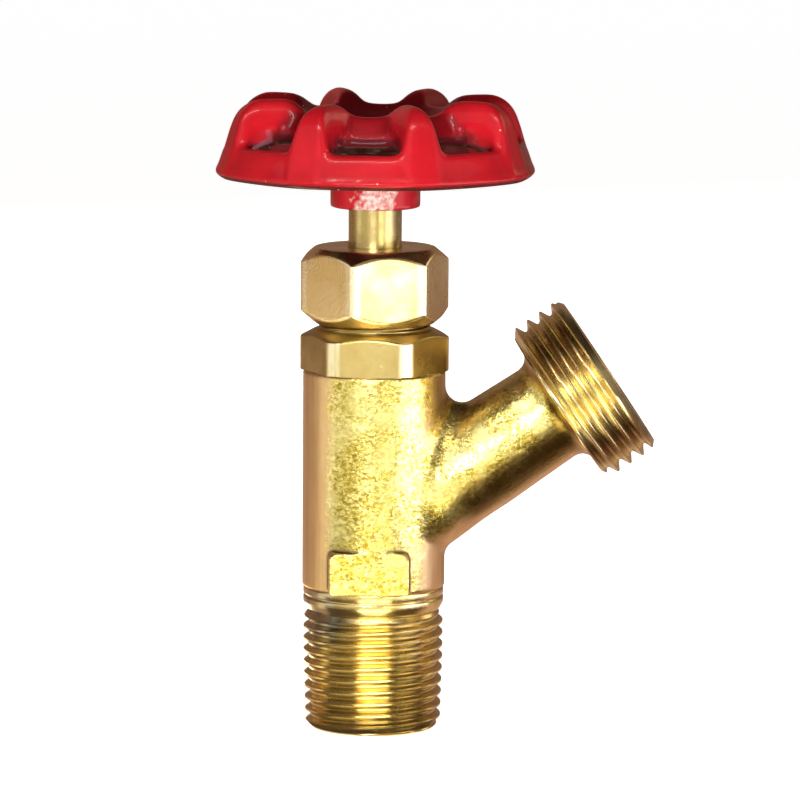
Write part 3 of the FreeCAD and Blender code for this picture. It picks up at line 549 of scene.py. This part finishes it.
def ease(points, radius):
    """Rounds each corner of a closed outline. A point may carry its own radius as a third number."""
    eased = []
    for index, point in enumerate(points):
        here = Vector(point[:2])
        before = Vector(points[index - 1][:2]) - here
        after = Vector(points[(index + 1) % len(points)][:2]) - here
        own = point[2] if len(point) > 2 else radius
        reach = min(own, before.length * 0.45, after.length * 0.45)
        if own == 0 or before.angle(after) > math.radians(172):
            eased.append(tuple(here))
            continue
        start = here + before.normalized() * reach
        end = here + after.normalized() * reach
        for step in (0, 1 / 3, 2 / 3, 1):
            eased.append(tuple(start.lerp(here, step).lerp(here.lerp(end, step), step)))
    return eased


SHORT_STEP = 0.25 * MM
FLAT_EDGE = 0.22 * MM
NEAR_FLATS = 0.98
WORN_SHEEN_CORNER = 1.09


def divided(outline, closed, reach):
    """Cuts the outline's steps beyond the reach into short ones, so that chamfers curve on the flats."""
    following = outline[1:] + outline[:1] if closed else outline[1:]
    dense = []
    for here, there in zip(outline, following):
        parts = 1
        if max(here[0], there[0]) > reach:
            parts = max(1, math.ceil(math.dist(here, there) / SHORT_STEP))
        for part in range(parts):
            share = part / parts
            dense.append((here[0] + (there[0] - here[0]) * share, here[1] + (there[1] - here[1]) * share))
    return dense if closed else dense + outline[-1:]


def turned_piece(name, outline, columns, flats=None, thread=None):
    """A closed piece turned round Z. The outline runs up the outside and down the bore. flats is (half the
    width across flats, angle of a corner). thread is (pitch, height where it starts, height where it ends,
    radius(height, crest), crest heights over one pitch). The piece's mesh keeps two layers: root, 1 at the
    bottom of the thread, and one that is 1 on a hexagon's corners, for pale corners that are partly wear
    and partly a painted highlight."""
    skin = bmesh.new()
    root = skin.verts.layers.float.new("root")
    worn_and_sheen = skin.verts.layers.float.new("worn_and_sheen")

    def radius_at(radius, angle):
        """The turned radius, or less where a flat cuts it, a little rounded along the cut."""
        if not flats:
            return radius
        half, corner = flats
        if radius < half * NEAR_FLATS:
            return radius
        turn = (angle - corner) % (math.tau / 6) - math.tau / 12
        flat = half / math.cos(turn)
        blend = max(0.0, FLAT_EDGE - abs(radius - flat)) / FLAT_EDGE
        return min(radius, flat) - blend * blend * FLAT_EDGE / 4

    def ring(pairs, depth=0.0):
        """One row of vertices from pairs of radius and height."""
        row = []
        for angle, (r, z) in zip(columns, pairs):
            across = radius_at(r, angle)
            vert = skin.verts.new((across * math.cos(angle), across * math.sin(angle), z))
            vert[root] = depth
            vert[worn_and_sheen] = 1.0 if flats and across > flats[0] * WORN_SHEEN_CORNER else 0.0
            row.append(vert)
        return row

    def join(one, other, count):
        """Faces between two rows."""
        for index in range(count):
            following = (index + 1) % len(columns)
            skin.faces.new((one[index], one[following], other[following], other[index]))

    if flats:
        outline = divided(outline, not thread, flats[0] * NEAR_FLATS)
    rings = [ring([(r, z)] * len(columns)) for r, z in outline]
    for one, other in zip(rings, rings[1:]):
        join(one, other, len(columns))
    if not thread:
        join(rings[-1], rings[0], len(columns))
    else:
        pitch, start, end, radius, crests = thread
        steps = len(crests)
        base = start - pitch * 1.01
        rows = (math.ceil((end - base) / pitch) + 1) * steps
        sheet = []
        for row in range(rows + 1):
            crest = crests[row % steps]
            pairs = []
            for angle in columns:
                height = base + pitch * (row / steps + angle / math.tau)
                height = min(max(height, start), end)
                pairs.append((radius(height, crest), height))
            sheet.append(ring(pairs, 1 - crest))
        last = len(columns) - 1
        for row in range(rows):
            join(sheet[row], sheet[row + 1], last)
            if row + steps + 1 <= rows:
                skin.faces.new((sheet[row][last], sheet[row + steps][0],
                                sheet[row + steps + 1][0], sheet[row + 1][last]))
    bmesh.ops.remove_doubles(skin, verts=skin.verts, dist=WELD_GAP)
    bmesh.ops.recalc_face_normals(skin, faces=skin.faces)
    piece = to_object(name, skin)
    piece.data.shade_smooth()
    piece.data.set_sharp_from_angle(angle=math.radians(38))
    return piece


def inlet_radius(height, crest):
    """The inlet at this height, where crest runs from 0 in a root to 1 on a crest."""
    full = INLET_SMALL + min(height / 32, 0.35 * MM)
    cut = full - INLET_DEPTH * (1 - crest)
    return min(cut, INLET_LIP + height * 0.9, INLET_NECK + (INLET_TOP - height) * 0.7)


rounded_crests = [min(1.0, max(0.0, 0.5 + 0.55 * math.cos(math.tau * step / 14))) for step in range(14)]
inlet = turned_piece(
    "inlet_thread",
    [(INLET_NECK, INLET_TOP)] + ease([
        (INLET_NECK, INLET_TOP, 0),
        (10.10 * MM, 18.30 * MM),
        (COLLAR, 19.30 * MM, 0.2 * MM),
        (COLLAR, 20.15 * MM, 0.15 * MM),
        (GROOVE, 20.30 * MM, 0.08 * MM),
        (GROOVE, 20.50 * MM, 0.08 * MM),
        (COLLAR, 20.65 * MM, 0.15 * MM),
        (COLLAR, 21.60 * MM, 0.2 * MM),
        (10.40 * MM, 21.78 * MM, 0.1 * MM),
        (INLET_BORE, 21.78 * MM),
        (INLET_BORE, 0.60 * MM),
        (7.10 * MM, 0.00 * MM),
        (INLET_LIP, 0.00 * MM, 0),
    ], 0.1 * MM)[1:],
    round_columns(144),
    thread=(INLET_PITCH, 0.0, INLET_TOP, inlet_radius, rounded_crests))


TOOL_LINES = 0.008 * MM
ROOT_DARK = (0.20, 0.13, 0.035)
BAND_SHADE_BROWN = (0.24, 0.13, 0.04)
GONE_GREY = (0.30, 0.29, 0.26)


def turned_brass(name, light, dark, stain, stain_share, roughness, tilt=0.0, root_darkness=0.45):
    """Turned brass: fine rings from the tool, cloudy tarnish, a darker tone at the bottom of the thread, and,
    where the mesh has layers for them, bands of painted shade and grey places."""
    material, tree, shader = finish(name)
    rings = grain(tree, 240, 4, 0.7, stretch=(1, 1, 30), tilt=tilt)
    clouds = grain(tree, 330, 3, 0.55)
    broad = grain(tree, 110, 2)
    tone = mix_colour(tree, remap(tree, clouds, 0.36, 0.64), dark, light)
    tone = mix_colour(tree, remap(tree, rings, 0.35, 0.65, 0.0, 0.25), tone, dark)
    tone = mix_colour(tree, remap(tree, broad, 0.50, 0.66, 0.0, stain_share), tone, stain)
    # Darker towards the bottom of the thread.
    tone = tint(tree, tone, "root", remap(tree, clouds, 0.3, 0.7, 0.10, root_darkness), ROOT_DARK)
    # Painted shade above and below the hose end's middle.
    tone = tint(tree, tone, "shade_band", 0.75, BAND_SHADE_BROWN)
    tone = tint(tree, tone, "grey", remap(tree, clouds, 0.4, 0.6, 0.5, 1.0), GONE_GREY)
    tree.links.new(tone, shader.inputs["Base Color"])
    shader.inputs["Metallic"].default_value = 1.0
    gloss = remap(tree, clouds, 0.3, 0.7, roughness + 0.06, roughness - 0.04)
    tree.links.new(gloss, shader.inputs["Roughness"])
    tree.links.new(bump(tree, rings, TOOL_LINES), shader.inputs["Normal"])
    return material


def grey_patch(piece, middle, reach):
    """Marks where the brass has gone grey round one spot."""
    distance = np.linalg.norm(measure(piece.data)[0] - np.array(middle), axis=1)
    keep_on_mesh(piece.data, "grey", soft_step(-distance, -reach, -0.3 * reach))


grey_patch(inlet, GREY_SPOT, GREY_REACH)
thread_brass = turned_brass("thread_brass", (0.90, 0.74, 0.36), (0.72, 0.54, 0.20), (0.48, 0.38, 0.17),
                            stain_share=0.5, roughness=0.22)
put_on(inlet, thread_brass)
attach(inlet, "valve")


# Hose end
# The arm's end, turned to a three-quarter-inch hose thread with sharp crests, 11.5 to the inch. A smooth
# band leads into it and the flat end face takes the hose washer.

HOSE_PITCH = 25.4 / 11.5 * MM
HOSE_BACK = 33.7 * MM
HOSE_END = 42.9 * MM
HOSE_CREST = 13.49 * MM
HOSE_DEPTH = 1.45 * MM
HOSE_ROOT = 12.00 * MM
HOSE_NOSE = 12.38 * MM
HOSE_BORE = 6.00 * MM
ARM_TILT = math.pi / 2 - ARM_ANGLE


def hose_radius(height, crest):
    """The hose end at this height. Its thread fades out towards the end face."""
    fade = min(1.0, max(0.0, (HOSE_END - 0.45 * MM - height) / (1.0 * MM)))
    cut = HOSE_CREST - 0.04 * MM - HOSE_DEPTH * fade * (1 - crest)
    back = HOSE_ROOT + (height - HOSE_BACK) * 1.3
    return min(cut, back, HOSE_NOSE + (HOSE_END - height) * 1.1)


sharp_crests = [1.0, 0.92, 0.69, 0.46, 0.23, 0.04, 0.0, 0.04, 0.23, 0.46, 0.69, 0.92]
hose_end = turned_piece(
    "hose_thread",
    [(HOSE_NOSE, HOSE_END)] + ease([
        (HOSE_NOSE, HOSE_END, 0),
        (6.90 * MM, HOSE_END, 0.15 * MM),
        (HOSE_BORE, HOSE_END - 0.9 * MM, 0.1 * MM),
        (HOSE_BORE, HOSE_BACK + 0.5 * MM, 0),
        (5.97 * MM, HOSE_BACK, 0),
        (HOSE_ROOT, HOSE_BACK, 0),
    ], 0.15 * MM)[1:],
    round_columns(160),
    thread=(HOSE_PITCH, HOSE_BACK, HOSE_END, hose_radius, sharp_crests))
hose_end.data.transform(Matrix.Translation((0, 0, ARM_CROSSING)) @ Matrix.Rotation(ARM_TILT, 4, "Y"))
hose_brass = turned_brass("hose_brass", (0.97, 0.87, 0.52), (0.85, 0.69, 0.33), (0.62, 0.44, 0.18),
                          stain_share=0.35, roughness=0.24, tilt=ARM_TILT, root_darkness=0.2)

# Painted shade: the hose end is coloured darker above and below its bright middle.
places = measure(hose_end.data)[0]
up = (places[:, 2] - ARM_CROSSING) * arm_direction.x - places[:, 0] * arm_direction.z
shade_band = soft_step(np.abs(up + 0.6 * MM) / (13 * MM), 0.28, 0.52)
shade_band *= soft_step(-np.abs(up), -11.5 * MM, -9.5 * MM)
keep_on_mesh(hose_end.data, "shade_band", shade_band)
put_on(hose_end, hose_brass)
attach(hose_end, "valve")
for piece in (casting, inlet, hose_end):
    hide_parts("valve_body")


# Gasket
# A ring punched from fibre sheet. It lies in a well in the top of the body, under the bonnet's hexagon, and
# is squeezed tight when the bonnet is screwed down.

gasket_fibre, tree, shader = finish("gasket_fibre")
tone = mix_colour(tree, grain(tree, 1500, 4, 0.7), (0.24, 0.07, 0.045), (0.42, 0.16, 0.10))
tree.links.new(tone, shader.inputs["Base Color"])
shader.inputs["Roughness"].default_value = 0.85
tree.links.new(bump(tree, grain(tree, 2500), 0.05 * MM), shader.inputs["Normal"])


def dress(material, *names):
    """Gives CAD nodes that keep their own shape a finish."""
    for name in names:
        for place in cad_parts[name].material_slots:
            place.material = material


dress(gasket_fibre, "bonnet_gasket")


# Bonnet
# Turned from hexagon bar: a spigot that screws into the body, a hexagon with a sloping shoulder, and a
# threaded neck that holds the packing and takes the nut.

BONNET_HALF = 10.2 * MM
BONNET_CORNER = math.radians(53.6)
NECK_START = SEAM + 6.55 * MM
NECK_END = SEAM + 15.3 * MM
NECK_ROOT = 8.20 * MM
NECK_CREST = 8.78 * MM
NECK_PITCH = 1.35 * MM
STEM_HOLE = 4.12 * MM
PACKING_BOX = 6.50 * MM
SPIGOT = 7.98 * MM
SPIGOT_BORE = 5.55 * MM
BONNET_CORNERS = 11.25 * MM


def hexagon_columns(corner):
    """Column angles that come closer together beside each corner of a hexagon."""
    offsets = (0, 0.5, 1.1, 2, 3.2, 5, 7.5, 10.5, 14, 18, 22, 26)
    angles = set()
    for side in range(6):
        middle = math.degrees(corner) + side * 60
        for offset in offsets:
            angles.add(round((middle + offset) % 360, 4))
            angles.add(round((middle - offset) % 360, 4))
        angles.add(round((middle + 30) % 360, 4))
    return [math.radians(angle) for angle in sorted(angles)]


def neck_radius(height, crest):
    """The neck at this height. Its thread starts and ends in a slope."""
    cut = NECK_CREST - 0.55 * MM * (1 - crest)
    return min(cut, NECK_ROOT + (height - NECK_START) * 1.2, NECK_ROOT + (NECK_END - height) * 1.0)


bonnet = turned_piece(
    "hexagon_bonnet",
    [(NECK_ROOT, NECK_END)] + ease([
        (NECK_ROOT, NECK_END, 0),
        (PACKING_BOX, NECK_END),
        (PACKING_BOX, SEAM + 8.8 * MM),
        (STEM_HOLE, SEAM + 8.8 * MM),
        (STEM_HOLE, SEAM + 3.975 * MM),
        (SPIGOT_BORE, SEAM + 2.5 * MM),
        (SPIGOT_BORE, SEAM - 10.2 * MM),
        (SPIGOT, SEAM - 10.2 * MM),
        (SPIGOT, SEAM),
        (BONNET_CORNERS, SEAM, 0.12 * MM),
        (BONNET_CORNERS, SEAM + 5.1 * MM, 0.15 * MM),
        (8.95 * MM, SEAM + 6.32 * MM, 0.3 * MM),
        (NECK_ROOT, SEAM + 6.40 * MM, 0.05 * MM),
        (NECK_ROOT, NECK_START, 0),
    ], 0.08 * MM)[1:],
    hexagon_columns(BONNET_CORNER),
    flats=(BONNET_HALF, BONNET_CORNER),
    thread=(NECK_PITCH, NECK_START, NECK_END, neck_radius, rounded_crests[::2]))


BRUSH_LINES = 0.006 * MM
WORN_PALE_SHEEN = (0.96, 0.86, 0.58)


def drawn_brass(name, light, dark, roughness, pitting):
    """Hexagon brass: satin faces with a faint grain, soft tarnish, fine pits, and pale corners that are
    partly wear and partly a painted highlight.
    """
    material, tree, shader = finish(name)
    fibres = grain(tree, 900, 3, stretch=(1, 1, 0.2))
    clouds = grain(tree, 210, 3, 0.5)
    tone = mix_colour(tree, remap(tree, clouds, 0.38, 0.62), dark, light)
    tone = mix_colour(tree, remap(tree, fibres, 0.35, 0.65, 0.0, 0.22), tone, dark)
    # Darker towards the bottom of the thread.
    tone = tint(tree, tone, "root", 0.6, (0.22, 0.14, 0.05))
    # Pale hexagon corners: partly wear, partly a painted highlight.
    tone = tint(tree, tone, "worn_and_sheen", remap(tree, fibres, 0.3, 0.6, 0.3, 0.9), WORN_PALE_SHEEN)
    tree.links.new(tone, shader.inputs["Base Color"])
    shader.inputs["Metallic"].default_value = 1.0
    gloss = remap(tree, clouds, 0.3, 0.7, roughness + 0.05, roughness - 0.04)
    tree.links.new(gloss, shader.inputs["Roughness"])
    brushed = bump(tree, fibres, BRUSH_LINES)
    tree.links.new(bump(tree, grain(tree, 2400, 3), pitting, brushed), shader.inputs["Normal"])
    return material


bonnet_brass = drawn_brass("bonnet_brass", (0.57, 0.45, 0.18), (0.44, 0.33, 0.11), 0.29, 0.012 * MM)
put_on(bonnet, bonnet_brass)
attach(bonnet, "valve")
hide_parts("bonnet")


# Disc holder and seat disc
# A brass cup on the stem's foot, held by a spring wire ring. Its rubber disc closes on the seat and is
# kept by a washer and a slotted screw.

inner_brass = turned_brass("inner_brass", (0.74, 0.54, 0.22), (0.62, 0.43, 0.16), (0.50, 0.34, 0.14),
                           stain_share=0.3, roughness=0.30)
dress(inner_brass, "disc_holder", "seat_disc_washer", "seat_disc_screw", "packing_washer", "packing_gland")

seat_rubber, tree, shader = finish("seat_rubber")
tone = mix_colour(tree, grain(tree, 600, 3), (0.018, 0.018, 0.018), (0.040, 0.038, 0.036))
tree.links.new(tone, shader.inputs["Base Color"])
shader.inputs["Roughness"].default_value = 0.7
tree.links.new(bump(tree, grain(tree, 3000), 0.01 * MM), shader.inputs["Normal"])
dress(seat_rubber, "seat_disc")


# Stem
# A turned brass rod with a lifting thread below and a square end on top. It shows between the nut and the
# wheel, with a satin surface and faint rings.

stem_brass = turned_brass("stem_brass", (0.58, 0.45, 0.18), (0.46, 0.34, 0.13), (0.38, 0.27, 0.14),
                          stain_share=0.5, roughness=0.25)
dress(stem_brass, "stem")


# Packing
# Three rings of graphited cord round the stem, between a brass washer and the gland. The gland squeezes
# them against the stem, which keeps the water in.

graphite, tree, shader = finish("graphite_packing")
weave = grain(tree, 1400, 4, 0.7, stretch=(1, 1, 2.5))
tone = mix_colour(tree, weave, (0.035, 0.035, 0.038), (0.11, 0.11, 0.115))
tree.links.new(tone, shader.inputs["Base Color"])
shader.inputs["Roughness"].default_value = 0.55
shader.inputs["Metallic"].default_value = 0.3
tree.links.new(bump(tree, weave, 0.06 * MM), shader.inputs["Normal"])
dress(graphite, "packing_ring_lower", "packing_ring_middle", "packing_ring_upper")


# Packing nut
# A nut turned from hexagon brass and chamfered at both ends. It screws onto the bonnet's neck and presses
# the gland down on the packing.

NUT_HALF = 9.95 * MM
NUT_CORNER = math.radians(10.5)
NUT_BASE = 61.9 * MM
NUT_HEIGHT = 11.5 * MM
NUT_DEPTH = 9.0 * MM
NUT_BORE = 8.85 * MM
NUT_CORNERS = 11.49 * MM
nut = turned_piece(
    "hexagon_nut",
    ease([
        (NUT_BORE, NUT_BASE),
        (8.98 * MM, NUT_BASE),
        (NUT_CORNERS, NUT_BASE + 2.11 * MM, 0.12 * MM),
        (NUT_CORNERS, NUT_BASE + 9.50 * MM, 0.12 * MM),
        (9.10 * MM, NUT_BASE + NUT_HEIGHT, 0.25 * MM),
        (STEM_HOLE, NUT_BASE + NUT_HEIGHT, 0.15 * MM),
        (STEM_HOLE, NUT_BASE + NUT_DEPTH),
        (NUT_BORE, NUT_BASE + NUT_DEPTH),
    ], 0.08 * MM),
    hexagon_columns(NUT_CORNER),
    flats=(NUT_HALF, NUT_CORNER))
nut_brass = drawn_brass("nut_brass", (0.88, 0.70, 0.38), (0.77, 0.57, 0.25), 0.24, 0.02 * MM)
put_on(nut, nut_brass)
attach(nut, "valve")
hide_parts("packing_nut")


# Handwheel
# One casting dipped in red enamel: a skirted bowl with eight hollow lobes round a dish, windows between
# the lobes and a hub below. The enamel is thick, rounds every edge, and is scuffed on the hub.

HUB_BASE = 79.4 * MM
HUB_RADIUS = 7.2 * MM
WHEEL_TURN = math.radians(16.4)
LOBES = 8
LOBE_PINCH = math.radians(2.2)
SKIRT_WAVE = 0.5 * MM
BEAD_HEIGHT = 5.3 * MM
BEAD_RISE = 0.45 * MM
WHEEL_VOXEL = 0.28 * MM
WHEEL_ROUNDS = 12
MELT_ROUNDS = 45
SCUFF_ASIDE = 0.4 * MM
SCUFF_HEIGHT = 2.0 * MM
wheel = to_object("red_handwheel", welded_copy("handwheel"))
mesh = cast_skin(wheel, WHEEL_VOXEL, WHEEL_ROUNDS)
places, normals, around = measure(mesh)

# The lobes are pinched, the skirt draws in a little between them, and a bead runs round it.
reach = np.hypot(places[:, 0], places[:, 1])
height = places[:, 2] - HUB_BASE
turn = np.arctan2(places[:, 1], places[:, 0])
phase = LOBES * (turn - WHEEL_TURN)
lobed = soft_step(reach, 8 * MM, 11 * MM)
turn -= LOBE_PINCH * np.sin(phase) * lobed
valley_skirt = (0.5 - 0.5 * np.cos(phase)) * soft_step(reach, 17 * MM, 20 * MM)
valley_skirt *= soft_step(-height, -12 * MM, -9 * MM)
reach -= SKIRT_WAVE * valley_skirt
bead = soft_step(reach, 21 * MM, 23 * MM) * np.exp(-np.square((height - BEAD_HEIGHT) / (0.75 * MM)))
reach += BEAD_RISE * bead
places[:, 0] = reach * np.cos(turn)
places[:, 1] = reach * np.sin(turn)

# Thick enamel softens the top of the wheel.
melted = soft_step(reach, 9 * MM, 11 * MM) * (0.06 + 0.94 * soft_step(height, 7 * MM, 9.5 * MM))
relax(places, around, 0.5 * melted, MELT_ROUNDS)
places, normals, around = move_to(mesh, places)

# The material reads from the mesh where the wheel is creased, where it faces down, how far it lies inside
# a lobe or a window, where the ramps and the dish are, and where the hub is scuffed. All but the scuff
# darken the enamel as painted shade.
hollow = hollowness(places, normals, around, 4)
keep_on_mesh(mesh, "hollow", np.clip(hollow / (0.014 * MM), 0, 1))
reach = np.hypot(places[:, 0], places[:, 1])
keep_on_mesh(mesh, "below", soft_step(-normals[:, 2], 0.6, 0.95) * soft_step(-reach, -22.8 * MM, -21.5 * MM))


def shelter(mesh, places, normals, directions, distance):
    """The share of the directions in which a vertex has another part of the piece over it."""
    own_shape = BVHTree.FromPolygons(places.tolist(), [tuple(face.vertices) for face in mesh.polygons])
    blocked = np.zeros(len(places))
    for index, start in enumerate((places + normals * 0.2 * MM).tolist()):
        for direction in directions:
            if own_shape.ray_cast(Vector(start), direction, distance)[0] is not None:
                blocked[index] += 1
    return blocked / len(directions)


UPWARDS = [Vector((x, y, 1)) for x, y in ((0, 0), (0.5, 0), (-0.5, 0), (0, 0.5), (0, -0.5))]
sheltered = shelter(mesh, places, normals, UPWARDS, 15 * MM)
for _ in range(3):
    sheltered = around(sheltered)
height = places[:, 2] - HUB_BASE
outward = (normals[:, 0] * places[:, 0] + normals[:, 1] * places[:, 1]) / np.maximum(reach, MM)
window_edge = soft_step(outward, 0.0, 0.3) * soft_step(-height, -12.0 * MM, -11.3 * MM)
window_edge *= soft_step(reach, 12.5 * MM, 13.5 * MM) * soft_step(-reach, -17.5 * MM, -16.5 * MM)
# Painted shade: the sheltered inside and the window edges are darkened in the material.
inside = soft_step(sheltered, 0.3, 0.8) * soft_step(reach, HUB_RADIUS, 8 * MM)
keep_on_mesh(mesh, "inside", np.maximum(inside, window_edge))
ramp = soft_step(height, 10.6 * MM, 12.0 * MM) * soft_step(-reach, -19 * MM, -17 * MM)
ramp *= soft_step(outward, 0.1, 0.4)
keep_on_mesh(mesh, "ramp", ramp)
keep_on_mesh(mesh, "dish", soft_step(-outward, -0.1, 0.35) * soft_step(height, 9 * MM, 10 * MM))
scuff = noise_at(places, 420) * 0.5 + noise_at(places, 1500) * 0.4
spot = np.hypot((places[:, 0] - SCUFF_ASIDE) / 3.9, (height - SCUFF_HEIGHT) / 3.0) / MM
scuffed = soft_step(1.1 - spot + scuff, 0.25, 0.45)
keep_on_mesh(mesh, "scuff", (places[:, 1] < 0) * (reach < HUB_RADIUS) * scuffed)

ENAMEL_DEEP = (0.50, 0.008, 0.015)
ENAMEL_BRIGHT = (0.63, 0.012, 0.021)
DISH_SHADE = (0.13, 0.004, 0.008)
RAMP_SHADE = (0.20, 0.005, 0.011)
WHEEL_CREASE_SHADE = (0.14, 0.003, 0.005)
UNDERSIDE_SHADE = (0.07, 0.012, 0.010)
SHELTERED_SHADE = (0.075, 0.004, 0.007)
SPECK_PINK = (0.86, 0.60, 0.55)

enamel, tree, shader = finish("red_enamel")
clouds = grain(tree, 160, 3)
tone = mix_colour(tree, remap(tree, clouds, 0.3, 0.7), ENAMEL_DEEP, ENAMEL_BRIGHT)
# Painted shade in the dish.
tone = tint(tree, tone, "dish", 0.75, DISH_SHADE)
# Painted shade on the ramps above the windows.
tone = tint(tree, tone, "ramp", 0.70, RAMP_SHADE)
# Painted shade in the creases.
tone = tint(tree, tone, "hollow", 0.8, WHEEL_CREASE_SHADE)
# Painted shade on faces that look down.
tone = tint(tree, tone, "below", 0.85, UNDERSIDE_SHADE)
# Painted shade inside the lobes and windows, where the wheel shelters itself.
tone = tint(tree, tone, "inside", 0.95, SHELTERED_SHADE)
specks = add(tree, "TexVoronoi", {"Vector": add(tree, "TexCoord").outputs["Object"], "Scale": 420.0})
tone = mix_colour(tree, remap(tree, specks.outputs["Distance"], 0.035, 0.06, 1.0, 0.0), tone, SPECK_PINK)
scratches = remap(tree, grain(tree, 1300, 4, 0.7), 0.4, 0.6)
bare = mix_colour(tree, scratches, (0.66, 0.20, 0.17), (0.90, 0.70, 0.62))
tone = mix_colour(tree, from_mesh(tree, "scuff"), tone, bare)
tree.links.new(tone, shader.inputs["Base Color"])
tree.links.new(remap(tree, from_mesh(tree, "inside"), 0.0, 1.0, 0.28, 0.8), shader.inputs["Roughness"])
shader.inputs["Specular IOR Level"].default_value = 0.10
shader.inputs["Coat Weight"].default_value = 0.18
shader.inputs["Coat Roughness"].default_value = 0.06
orange_peel = bump(tree, grain(tree, 380, 2), 0.05 * MM)
tree.links.new(orange_peel, shader.inputs["Normal"])
tree.links.new(orange_peel, shader.inputs["Coat Normal"])
put_on(wheel, enamel)
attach(wheel, "spindle")
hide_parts("handwheel")


# Handwheel screw and washer, and the disc's wire ring
# Zinc-plated steel: a slotted pan-head screw on a washer holds the wheel on the stem's square. The spring
# wire ring in the disc holder has the same plating.

plated_steel, tree, shader = finish("plated_steel")
blush = grain(tree, 500, 4, 0.6)
tree.links.new(mix_colour(tree, blush, (0.52, 0.52, 0.50), (0.74, 0.74, 0.73)), shader.inputs["Base Color"])
shader.inputs["Metallic"].default_value = 1.0
tree.links.new(remap(tree, blush, 0.3, 0.7, 0.42, 0.28), shader.inputs["Roughness"])
tree.links.new(bump(tree, grain(tree, 1800, 3), 0.01 * MM), shader.inputs["Normal"])
dress(plated_steel, "handwheel_washer", "handwheel_screw", "disc_retainer")
